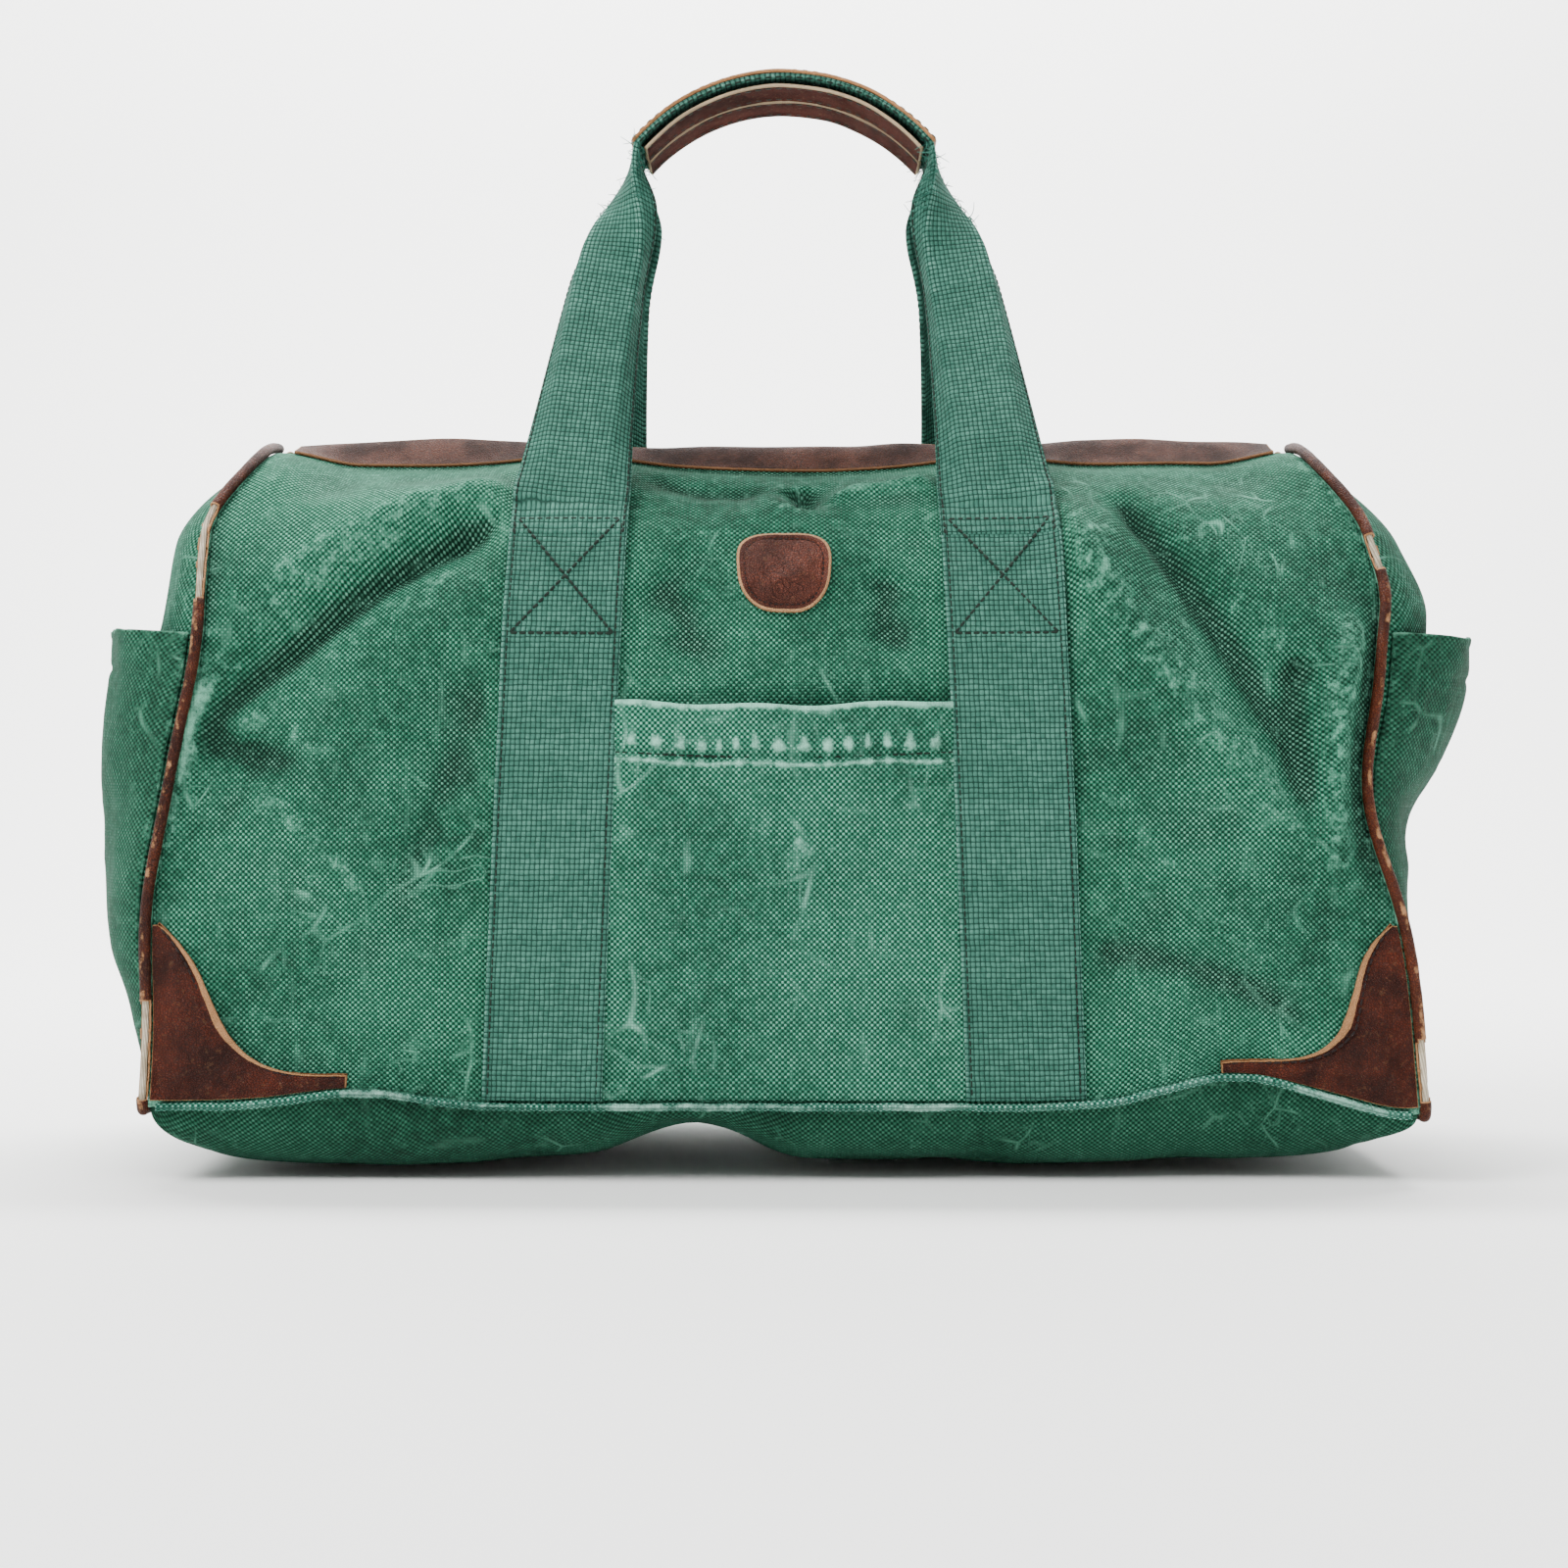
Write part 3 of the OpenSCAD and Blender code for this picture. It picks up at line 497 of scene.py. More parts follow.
def bumped(tree, shader, height, distance, strength=1.0):
    """The height, from 0 to 1, as a bump of distance metres on the shader's normal."""
    bump = add(tree, "Bump", {"Height": height, "Distance": distance, "Strength": strength})
    tree.links.new(bump.outputs[0], shader.inputs["Normal"])


canvas_yarn = 0.00125


def canvas_finish(name, deep, base, pale, fleck=0.5):
    """Waxed canvas: a plain weave whose raised yarns are rubbed pale, darker in broad clouds, with
    white scuffs along creases, ridges and edges, and painted shade in the fold valleys that a mask
    marks. fleck sets how much the yarns are rubbed."""
    finish, tree, shader, place = new_finish(name, 0.82, 0.12)
    cloth = add(tree, "UVMap", uv_map="Cloth").outputs[0]
    yarns = use(tree, weave, {"Cloth Vector": cloth, "Across": canvas_yarn, "Along": canvas_yarn})
    broad = ramp(tree, cloudy(tree, place, 9.0, 4.0, 0.62), 0.36, 0.66)
    fine = cloudy(tree, place, 190.0, 5.0, 0.75)
    folds = use(tree, wrinkles, {"Place Vector": cloth, "Scale": 19.0, "Spread": 0.075})["Line"]
    cracks = use(tree, wrinkles, {"Place Vector": cloth, "Scale": 41.0, "Spread": 0.10})["Line"]
    wear = painted(tree, "wear")
    painted_valley_shade = painted(tree, "painted_valley_shade")
    dots = times(tree, ramp(tree, yarns["Checks"], 0.4, 0.95),
                 ramp(tree, yarns["Tone"], 0.0, 1.0, 0.45, 1.0))
    streaks = add(tree, "VectorMath", {0: place, 1: (95.0, 95.0, 24.0)}, operation="MULTIPLY").outputs[0]
    slant = {"Vector": place, "Rotation": (0.0, 0.9, 0.0), "Scale": (24.0, 90.0, 85.0)}
    slanted = add(tree, "Mapping", slant).outputs[0]
    scratch = calc(tree, "MAXIMUM", ramp(tree, cloudy(tree, streaks, 1.0, 3.0), 0.60, 0.80),
                   ramp(tree, cloudy(tree, slanted, 1.0, 3.0), 0.60, 0.80))
    ground = mixed(tree, ramp(tree, fine, 0.35, 0.68), mixed(tree, broad, deep, base), base)
    ground = mixed(tree, times(tree, ramp(tree, yarns["Checks"], 0.5, 0.1), 0.85), ground,
                   tuple(0.35 * c for c in deep))
    # Painted shade: where the valley mask is 1, the ground is darkened towards a third of the deep colour.
    ground = mixed(tree, times(tree, painted_valley_shade, 0.8), ground, tuple(0.3 * c for c in deep))
    rub = ramp(tree, calc(tree, "ADD", wear, calc(tree, "MULTIPLY_ADD", fine, 1.5, -0.75)), 0.28, 0.95)
    lines = calc(tree, "MAXIMUM", times(tree, folds, 0.50), times(tree, cracks, 0.26))
    lines = times(tree, lines, ramp(tree, cloudy(tree, place, 42.0, 2.0), 0.42, 0.60))
    lines = calc(tree, "MAXIMUM", lines, times(tree, scratch, 0.24))
    lines = times(tree, lines, ramp(tree, yarns["Domes"], 0.0, 0.8, 0.55, 1.0))
    uneven = ramp(tree, calc(tree, "MULTIPLY_ADD", broad, 0.35, fine), 0.4, 0.95, 0.45 * fleck, 1.3 * fleck)
    scuffs = calc(tree, "MAXIMUM", times(tree, rub, 0.75), lines)
    light = calc(tree, "MAXIMUM", times(tree, dots, uneven), scuffs, clamp=True)
    tree.links.new(mixed(tree, light, ground, pale), shader.inputs["Base Color"])
    raised = calc(tree, "ADD", times(tree, yarns["Domes"], 0.5), times(tree, fine, 0.9))
    raised = calc(tree, "SUBTRACT", raised, times(tree, folds, 0.35))
    bumped(tree, shader, raised, 0.0007)
    return finish


green_canvas = canvas_finish("green_canvas", (0.0015, 0.036, 0.018), (0.0040, 0.088, 0.046),
                             (0.23, 0.60, 0.42), 0.47)

panel_top = float(cloth_at_y(zip_half_gap))
for face, side in both_faces:
    s = np.linspace(0, panel_top, 136)[:, None]
    h = np.interp(s, section_s, section_h)
    u = np.linspace(0, 1, 212)[None, :]
    x = face * (-seam_x(h, -face) * (1 - u) + seam_x(h, face) * u)
    x, s = np.broadcast_arrays(x, s)
    lift = relief(x, s, face)
    wear = 0.40 * worn(lift, 0.0016) + 0.55 * hump(s / 0.004)
    wear = wear + 0.4 * hump(np.minimum(u, 1 - u) * 0.5 / 0.005)
    # The valley mask marks the sunken parts of the fold relief, where the canvas paints shade.
    canvas = closed_sheet(side + "_canvas", panel_point(x, s, 0, face), canvas_thick,
                          np.stack([x, s], -1), {"wear": wear, "painted_valley_shade": worn(-lift, 0.0016)}, green_canvas)
    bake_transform(canvas)
    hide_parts(side + "_panel", side + "_top_panel")


# ---- End panels -----------------------------------------------------------------------------
# Each end is one piece of the same canvas below its pocket's mouth, split above it by the zip.
# It is sewn to the front and rear over piping and bulges out between its seams.

def fullness(y, h):
    """How far an end panel swells, 0 on its seams: (1-(y/Y)^2.7-(h/H)^4)^0.7 times 1-(1-h/H)^4."""
    inside = 1 - (np.abs(y) / half_depth) ** depth_power - (h / body_height) ** rise_power
    return np.clip(inside, 0, None) ** bulge_power * (1 - (1 - h / body_height) ** foot_power)


def end_point(y, h, out, end):
    """A point of the right (end 1) or left (end -1) panel at y and h, moved out along its normal."""
    def raw(y, h):
        swell = fullness(y, h) * np.where(end > 0, 0.30 + 0.70 * smooth((h - 0.055) / 0.13), 1.0)
        crush = 0.0034 * crumple(y + 0.3 * end, h, 70 + end) * smooth(swell / 0.35)
        return np.stack([end * (seam_x(h, end) + end_bulge * swell + crush), y, seam_z + h], -1)
    step = 0.001
    h = np.asarray(h, float)
    up = raw(y, np.minimum(h + step, body_height * 0.9999)) - raw(y, np.maximum(h - step, 0))
    normal = unit(np.cross(raw(y + step, h) - raw(y - step, h), up) * end)
    return raw(y, h) + normal * np.asarray(out)[..., None]


seam_overlap = 0.0004
tape_reach = 0.0105
gusset_top = (1 - ((tape_reach + 0.004) / half_depth) ** depth_power) ** (1 / rise_power) * body_height
for end, hand in both_ends:
    for face, side in both_faces:
        h = (np.linspace(0, 1, 120) ** 0.9)[:, None] * gusset_top
        v = np.linspace(0, 1, 60)[None, :]
        if face * end < 0:
            v = v[:, ::-1]
        zip_edge = tape_reach * smooth((h - fold_h) / 0.006)
        y = -face * ((side_y(h) + seam_overlap) * (1 - v) + zip_edge * v)
        y, h = np.broadcast_arrays(y, h)
        wear = 0.5 * hump(v / 0.03) + 0.5 * hump(h / 0.006)
        panel = closed_sheet(side + "_" + hand + "_end_canvas", end_point(y, h, 0, end),
                             canvas_thick, np.stack([y, h], -1), {"wear": wear}, green_canvas)
        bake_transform(panel)
        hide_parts(hand + "_end_panel", side + "_" + hand + "_gusset")


# ---- Bottom ---------------------------------------------------------------------------------
# A darker, heavier canvas hangs from the bottom seams in two lobes with a crease between them.
# The bag stands on it, so it is scuffed pale and flat where it touches.

light_thick = 0.0016
floor_inset, floor_margin = 0.062, 0.050
crease_x, crease_tall, crease_half = -0.040, 0.018, 0.052
dark_canvas = canvas_finish("dark_canvas", (0.002, 0.028, 0.014), (0.004, 0.058, 0.030),
                            (0.13, 0.36, 0.24), 0.32)
rim_x, rim_y = body_length / 2 - 0.001, half_depth - 0.001
x = (rim_x * np.sin(np.linspace(-1, 1, 170) * math.pi / 2))[None, :]
y = (rim_y * np.sin(np.linspace(1, -1, 90) * math.pi / 2))[:, None]


def hang(reach, inset):
    """A quarter circle: 0 at the seam and 1 from inset inwards."""
    q = np.clip(reach / inset, 0, 1)
    return np.sqrt(q * (2 - q)) + 0.001


drop = hang(rim_x - np.abs(x), floor_inset) ** -6 + hang(rim_y - np.abs(y), floor_margin) ** -6
drop = np.clip(drop ** (-1 / 6), 0, 1)
crease = crease_tall * (1 + np.cos(math.pi * np.clip((x - crease_x) / crease_half, -1, 1))) / 2
slack = 0.005 * (1 - np.clip(hump((x + 0.19) / 0.09) + hump((x - 0.125) / 0.10), 0, 1))
rim_z = seam_z - 0.0004 + seam_lift(x * np.sign(-y + 1e-9)) * np.clip(np.abs(y) / rim_y, 0, 1) ** 8
x, y, drop = np.broadcast_arrays(x, y, drop)
crush = 0.0045 * crumple(x, y, 90) * np.clip(4 * drop * (1 - drop), 0, 1)
crush = crush + 0.0012 * crumple(y, x, 95) * drop
z = np.maximum(rim_z * (1 - drop) + (crease + slack) * drop + crush, 0.0)
wear = 0.3 * worn(-crush) + 0.7 * smooth((0.003 - z) / 0.003) * drop + 0.5 * hump(drop / 0.1)
run = np.cumsum(np.hypot(np.diff(y, axis=0, prepend=y[:1]), np.diff(z, axis=0, prepend=z[:1])), axis=0)
belly = closed_sheet("bottom_canvas", np.stack([x, y, z], -1), light_thick,
                     np.stack([x, run], -1), {"wear": wear}, dark_canvas)
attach(belly, "bag_body")
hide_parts("bottom_panel")


# ---- Front pocket ---------------------------------------------------------------------------
# A patch of canvas between the straps, its sides caught under them and its foot in the bottom
# seam. Its mouth is hemmed, sags a little and stands off, so that its edge is rubbed white.

pocket_stand, pocket_slack = 0.0022, 0.0085
hem_deep = 0.0225
pocket_finish = canvas_finish("pocket_canvas", (0.0020, 0.045, 0.023), (0.0060, 0.105, 0.057),
                              (0.30, 0.66, 0.50), 0.50)
u = np.linspace(-1, 1, 120)[None, :]
t = np.linspace(0, 1, 130)[:, None]
sag = 0.0032 * (1 - u ** 2) + 0.0006 * np.sin(9 * u)
h = 0.0030 + t * (pocket_top_h - 0.0035 - sag)
x = u * (strap_x(h) - strap_width / 2 + 0.0035)
x, h = np.broadcast_arrays(x, h)
s = cloth_at_h(h)
middle = 1 - np.abs(u) ** 5
from_top = (1 - t) * pocket_top_h
pucker = 0.5 + 0.5 * np.cos(2 * math.pi * x / 0.0095 + 2.2 * noise(x, s, 0.03, 7))
hem = 0.0013 * hump((from_top - 0.0015) / 0.002) - 0.0018 * hump((from_top - hem_deep) / 0.0018) \
    + 0.0010 * hump((from_top - hem_deep - 0.004) / 0.002) \
    + 0.0011 * pucker * hump((from_top - hem_deep + 0.004) / 0.007) \
    + 0.0010 * smooth((hem_deep - from_top) / 0.003) * smooth(from_top / 0.003)
creased = fold(x, s, [(0.000, 0.118), (0.020, 0.108), (0.055, 0.112)], 0.007, 0.0026) \
    + fold(x, s, [(0.020, 0.112), (0.012, 0.085), (0.030, 0.055)], 0.007, 0.0024) \
    + fold(x, s, [(0.018, 0.110), (-0.010, 0.100), (-0.040, 0.072)], 0.008, 0.0020) \
    + fold(x, s, [(-0.060, 0.150), (-0.030, 0.120), (-0.050, 0.050)], 0.012, -0.0018) \
    + 0.0022 * crumple(x, s, 21)
out = pocket_stand + pocket_slack * (h / pocket_top_h) ** 2 * middle \
    + (hem + creased * smooth(from_top / 0.03)) * middle
wear = 0.9 * hump(from_top / 0.0022) + 0.35 * worn(hem + creased) \
    + 0.42 * hump((from_top - hem_deep - 0.003) / 0.0016) \
    + 0.42 * pucker * hump((from_top - hem_deep + 0.005) / 0.005) \
    + 0.22 * hump((from_top - 0.055) / 0.02) * hump(x / 0.03)
patch_pocket = closed_sheet("front_pocket_canvas", panel_point(x, s, out, 1), light_thick,
                            np.stack([x, s], -1), {"wear": wear}, pocket_finish)
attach(patch_pocket, "bag_body")
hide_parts("front_pocket")


# ---- End pockets ----------------------------------------------------------------------------
# A slack canvas pocket covers the lower two thirds of each end. Its mouth is hemmed and its
# corners curl away from the end panel.

end_pocket_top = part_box("right_end_pocket")[1][2] - seam_z
end_pocket_stand, end_pocket_slack = 0.0014, 0.0175
end_pocket_inset, end_hem_deep = 0.0035, 0.019
end_pocket_finish = canvas_finish("end_pocket_canvas", (0.002, 0.028, 0.014), (0.004, 0.062, 0.032),
                                  (0.13, 0.38, 0.25), 0.36)


def pouch_stand(v, h):
    """How far a pocket stands off its end panel: more towards its mouth, as (h/top)^1.2, and
    towards its middle, as 1-v^2."""
    return end_pocket_stand + end_pocket_slack * (h / end_pocket_top) ** 1.2 * (1 - v ** 2)


def pouch_creases(y, h, end):
    """The creases of a pocket's cloth, which die out at its mouth."""
    return 0.0042 * crumple(y + 0.11 * end, h * 0.8, 60 + end) * smooth((end_pocket_top - h) / 0.02)


for end, hand in both_ends:
    v = np.linspace(-1, 1, 110)[None, :] * end
    h = (0.004 + np.linspace(0, 1, 120) * (end_pocket_top - 0.005))[:, None]
    y = v * (side_y(h) - end_pocket_inset)
    y, h = np.broadcast_arrays(y, h)
    middle = 1 - v ** 2
    from_top = end_pocket_top - h
    hem = humps(from_top, (0.0010, 0.0015, 0.002), (-0.0013, end_hem_deep, 0.0022))
    creased = pouch_creases(y, h, end)
    curl = 0.004 * hump((np.abs(v) - 0.72) / 0.16) * smooth(1 - from_top / 0.03)
    curl = curl + 0.006 * hump((from_top - 0.002) / 0.05) * middle
    curl = curl - 0.005 * hump((h - 0.105) / 0.035) * middle
    out = pouch_stand(v, h) + (hem + creased) * np.sqrt(np.clip(middle, 0, 1)) + curl
    wear = 0.8 * hump(from_top / 0.002) + 0.3 * worn(creased) + 0.4 * hump((1 - np.abs(v)) / 0.03)
    pouch = closed_sheet(hand + "_end_pocket_canvas", end_point(y, h, out, end), light_thick,
                         np.stack([y, h], -1), {"wear": wear}, end_pocket_finish)
    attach(pouch, "bag_body")
    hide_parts(hand + "_end_pocket")


# ---- Stitching ------------------------------------------------------------------------------
# Waxed thread in even lock stitches. Each stitch is a short bead, sunk halfway into what it sews.

stitch_long, stitch_pitch, stitch_thick = 0.0030, 0.0035, 0.0010


def thread_finish(name, colour, roughness=0.7):
    """Waxed thread: plies twisted round it as slanting bands, with uneven dirt."""
    finish, tree, shader, place = new_finish(name, roughness)
    dirt = ramp(tree, cloudy(tree, place, 300.0), 0.3, 0.7)
    tree.links.new(mixed(tree, dirt, tuple(0.55 * c for c in colour), colour), shader.inputs["Base Color"])
    plies = add(tree, "TexWave", {"Vector": place, "Scale": 900.0, "Distortion": 2.0})
    bumped(tree, shader, plies.outputs["Fac"], 0.0001)
    return finish


def run_along(points):
    """How far along a line each of its points lies."""
    return np.concatenate([[0], np.cumsum(np.linalg.norm(np.diff(points, axis=0), axis=1))])


def circle(first, second, angles):
    """Directions round a circle: first times the cosine and second times the sine of each angle."""
    cosine, sine = np.cos(angles)[:, None], np.sin(angles)[:, None]
    return first[..., None, :] * cosine + second[..., None, :] * sine


def copied(faces, count, size):
    """The faces of a small shape of size points, for count copies of it one after another."""
    faces = np.asarray(faces)
    return (faces + (np.arange(count) * size)[:, None, None]).reshape(-1, faces.shape[1]).tolist()


def beads(lines, long=stitch_long, pitch=stitch_pitch, thick=stitch_thick):
    """Points and faces of stitches along lines of (points, normals). A stitch is a six-sided bead:
    rings at -1, -0.6, 0.6 and 1 of its half length with radii of 0.35, 1, 1 and 0.35 of its own."""
    at, way, up = [], [], []
    for points, normals in lines:
        run = run_along(points)
        count = max(1, int(run[-1] / pitch))
        mid = (np.arange(count) + 0.5) * run[-1] / count
        def on(values, where):
            return np.stack([np.interp(where, run, values[:, k]) for k in range(3)], -1)
        at.append(on(points, mid))
        way.append(on(points, mid + 0.3 * pitch) - on(points, mid - 0.3 * pitch))
        up.append(on(normals, mid))
    at, way, up = (np.concatenate(v) for v in (at, way, up))
    way = unit(way)
    side = unit(np.cross(way, up))
    rings = np.array([[-1, 0.35], [-0.6, 1], [0.6, 1], [1, 0.35]])
    shift = way[:, None, None] * (rings[:, 0] * long / 2)[:, None, None]
    around = circle(side, np.cross(side, way), np.arange(6) * math.pi / 3)[:, None]
    points = at[:, None, None] + (shift + around * (rings[:, 1] * thick / 2)[:, None, None])
    ends = [[0, 1, 2, 3, 4, 5], [23, 22, 21, 20, 19, 18]]
    sides = grid_faces(4, 6, around=True)[:, ::-1]
    return points, copied(sides, len(at), 24) + copied(ends, len(at), 24)


def sew(name, lines, finish, slot, **sizes):
    """A piece made of the stitches along the lines."""
    points, faces = beads(lines, **sizes)
    piece = new_mesh(name, points, faces)
    piece.data.materials.append(finish)
    return piece


def cloth_line(x, s, out, face):
    """Points on the front or rear cloth and their normals, for a line of stitches."""
    points = panel_point(x, s, out, face)
    return points, panel_point(x, s, np.asarray(out) + 0.001, face) - points


green_thread = thread_finish("green_thread", (0.003, 0.018, 0.010))
hem_half = 0.078
hem_x = np.linspace(-0.074, 0.074, 60)
hem_h = pocket_top_h - hem_deep - 0.0032 * (1 - (hem_x / hem_half) ** 2)
hem_full = 1 - np.abs(hem_x / hem_half) ** 5
hem_out = pocket_stand + pocket_slack * (hem_h / pocket_top_h) ** 2 * hem_full - 0.0010
hem_stitches = sew("pocket_hem_stitching", [cloth_line(hem_x, cloth_at_h(hem_h), hem_out, 1)],
                   green_thread, "canvas")
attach(hem_stitches, "bag_body")
for end, hand in both_ends:
    v = np.linspace(-0.94, 0.94, 70)
    h = np.full(70, end_pocket_top - end_hem_deep)
    y = v * (side_y(h) - end_pocket_inset)
    out = pouch_stand(v, h) + (pouch_creases(y, h, end) - 0.0011) * np.sqrt(1 - v ** 2)
    points = end_point(y, h, out, end)
    line = (points, end_point(y, h, out + 0.001, end) - points)
    stitches = sew(hand + "_pocket_hem_stitching", [line], green_thread, "canvas")
    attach(stitches, "bag_body")


# ---- Sewn webbing ---------------------------------------------------------------------------
# Heavy basket-weave cotton webbing runs up the front and rear from the bottom seam, sewn along
# both edges and held at the top by a crossed box of stitches, and carries on as the handles.

strap_thick = 0.0020
strap_stand = 0.0016
strap_foot_h, strap_end_h = 0.0030, 0.2500
basket_across, basket_along = 0.00215, 0.00235
webbing_finish, tree, shader, place = new_finish("green_webbing", 0.88, 0.12)
cloth = add(tree, "UVMap", uv_map="Cloth").outputs[0]
wobble = add(tree, "TexNoise", {"Vector": cloth, "Scale": 120.0, "Detail": 1.0}).outputs["Color"]
bent = add(tree, "VectorMath", {0: wobble, 1: (0.0009, 0.0009, 0), 2: cloth}, operation="MULTIPLY_ADD")
yarns = use(tree, weave, {"Cloth Vector": bent.outputs[0], "Across": basket_across, "Along": basket_along})
fine = cloudy(tree, place, 240.0, 4.0, 0.7)
banded = add(tree, "VectorMath", {0: cloth, 1: (9.0, 60.0, 0.0)}, operation="MULTIPLY").outputs[0]
bands = cloudy(tree, banded, 1.0, 2.0)
tone = calc(tree, "ADD", times(tree, yarns["Tone"], 0.22), times(tree, fine, 0.9))
colour = mixed(tree, ramp(tree, tone, 0.25, 0.85), (0.033, 0.116, 0.084), (0.070, 0.212, 0.157))
colour = mixed(tree, ramp(tree, bands, 0.35, 0.7, 0.35, 0.0), colour, (0.014, 0.066, 0.045))
# Painted shade: the gaps between the yarn crossings are darkened.
colour = mixed(tree, ramp(tree, yarns["Domes"], 0.25, 0.70, 0.80, 0.0), colour, (0.004, 0.022, 0.015))
wear = painted(tree, "wear")
rub = ramp(tree, calc(tree, "ADD", wear, fine), 0.75, 1.35, 0.0, 0.7)
rub = times(tree, rub, ramp(tree, yarns["Domes"], 0.4, 0.9))
tree.links.new(mixed(tree, rub, colour, (0.22, 0.46, 0.37)), shader.inputs["Base Color"])
bumped(tree, shader, calc(tree, "ADD", yarns["Domes"], times(tree, fine, 0.35)), 0.0009)

across = np.array([0, 0.25, 0.5, 0.7, 0.85, 0.95, 0.985, 1])
across = np.concatenate([-across[:0:-1], across])
for face, side in both_faces:
    for end, hand in both_ends:
        h = np.linspace(strap_foot_h, strap_end_h, 124)[:, None]
        c = across[None, :] * face
        x = end * strap_x(h) + c * strap_width / 2
        x, h = np.broadcast_arrays(x, h)
        s = cloth_at_h(h)
        stand = strap_stand + strap_thick - 0.0004 * np.abs(c) ** 24
        stand = stand + 0.0005 * noise(x * 0.5, s, 0.03, 5 + face)
        wear = 0.5 * hump((1 - np.abs(c)) / 0.05)
        uv = np.stack(np.broadcast_arrays(c * strap_width / 2, s), -1)
        strap = closed_sheet(side + "_" + hand + "_sewn_webbing", panel_point(x, s, stand, face),
                             strap_thick, uv, {"wear": wear}, webbing_finish)
        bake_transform(strap)
        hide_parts(side + "_" + hand + "_strap", side + "_" + hand + "_box_strap")
        top = strap_stand + strap_thick + 0.0001
        h = np.linspace(strap_foot_h + 0.002, strap_end_h + 0.004, 90)
        edges = [cloth_line(end * strap_x(h) + k * (strap_width / 2 - 0.0025), cloth_at_h(h), top, face)
                 for k in (-1, 1)]
        lines = []
        box = strap_width / 2 - 0.0035
        low, high = 0.2050, 0.2560
        for a, b in (((-1, low), (1, low)), ((-1, high), (1, high)),
                     ((-1, low), (1, high)), ((-1, high), (1, low))):
            k = np.linspace(0, 1, 24)
            h = a[1] + (b[1] - a[1]) * k
            x = end * strap_x(h) + (a[0] + (b[0] - a[0]) * k) * box
            lines.append(cloth_line(x, cloth_at_h(h), top, face))
        for part, run, thick in (("edge", edges, 0.0007), ("box", lines, 0.0014)):
            stitches = sew(side + "_" + hand + "_strap_" + part + "_stitching", run, green_thread,
                           "webbing", thick=thick)
            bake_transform(stitches)


# ---- Handles --------------------------------------------------------------------------------
# Each strap carries on up as a free leg of the same webbing. It turns and folds its edges under
# until it is half as wide and double, and arches over as the grip.

roof_z = seam_z + body_height
grip_rise, grip_chord, grip_arch = 0.174, 0.136, 0.031
leg_dive = math.radians(72)
turn_start, fold_start = 0.6, 0.04
grip_y = 0.015
crown_z = roof_z + grip_rise
grip_r = ((grip_chord / 2) ** 2 + grip_arch ** 2) / (2 * grip_arch)
grip_angle = math.asin(grip_chord / 2 / grip_r)
fold_r = 0.0013
root_y, root_z = float(side_y(strap_top_h)), seam_z + strap_top_h


def handle_stations(face):
    """Centre points, outward and along directions, and share of folding along a handle, left to
    right: a cubic curve up each leg from the box stitch, then an arc of radius grip_r. A leg
    starts to fold, and further up to turn its face from the front to the sky, on S-curves."""
    root = np.array([strap_high, -(root_y + 0.0011), root_z + 0.0030])
    leg_out = unit(np.array([2 * (strap_high - strap_low), (root_y - grip_y) * 1.2, strap_top_h * 0.8]))
    leg_in = np.array([math.cos(leg_dive), 0, -math.sin(leg_dive)])
    grip_end = np.array([grip_chord / 2, -grip_y, crown_z - grip_arch])
    t = np.linspace(0, 1, 56)[:, None]
    leg = (1 - t) ** 3 * (root + [0, 0, 0.0016]) + 3 * (1 - t) ** 2 * t * (root + 0.060 * leg_out) \
        + 3 * (1 - t) * t ** 2 * (grip_end + 0.050 * leg_in) + t ** 3 * grip_end
    leg, t = leg[:-1], t[:-1, 0]
    turned = smooth((t - turn_start) / (1 - turn_start))
    folded = np.clip((t - fold_start) / (1 - fold_start), 0, 1)
    a = np.linspace(-grip_angle, grip_angle, 61)[:, None]
    rise = crown_z - grip_r + grip_r * np.cos(a)
    arch = np.concatenate([grip_r * np.sin(a), 0 * a - grip_y, rise], 1)
    mirror = np.array([-1, 1, 1])
    centre = np.concatenate([leg * mirror, arch, leg[::-1]])
    share = np.concatenate([folded, np.ones(61), folded[::-1]])
    turned = np.concatenate([turned, np.ones(61), turned[::-1]])[:, None]
    away = unit(centre * [1, 0, 1] - [0, 0, crown_z - grip_r])
    out = unit(np.array([0, -1.0, 0]) * (1 - turned) + away * turned)
    along = unit(np.gradient(centre, axis=0))
    out = unit(out - along * (out * along).sum(1, keepdims=True))
    mirror = np.array([1, face, 1])
    return centre * mirror, out * mirror, along * mirror, share


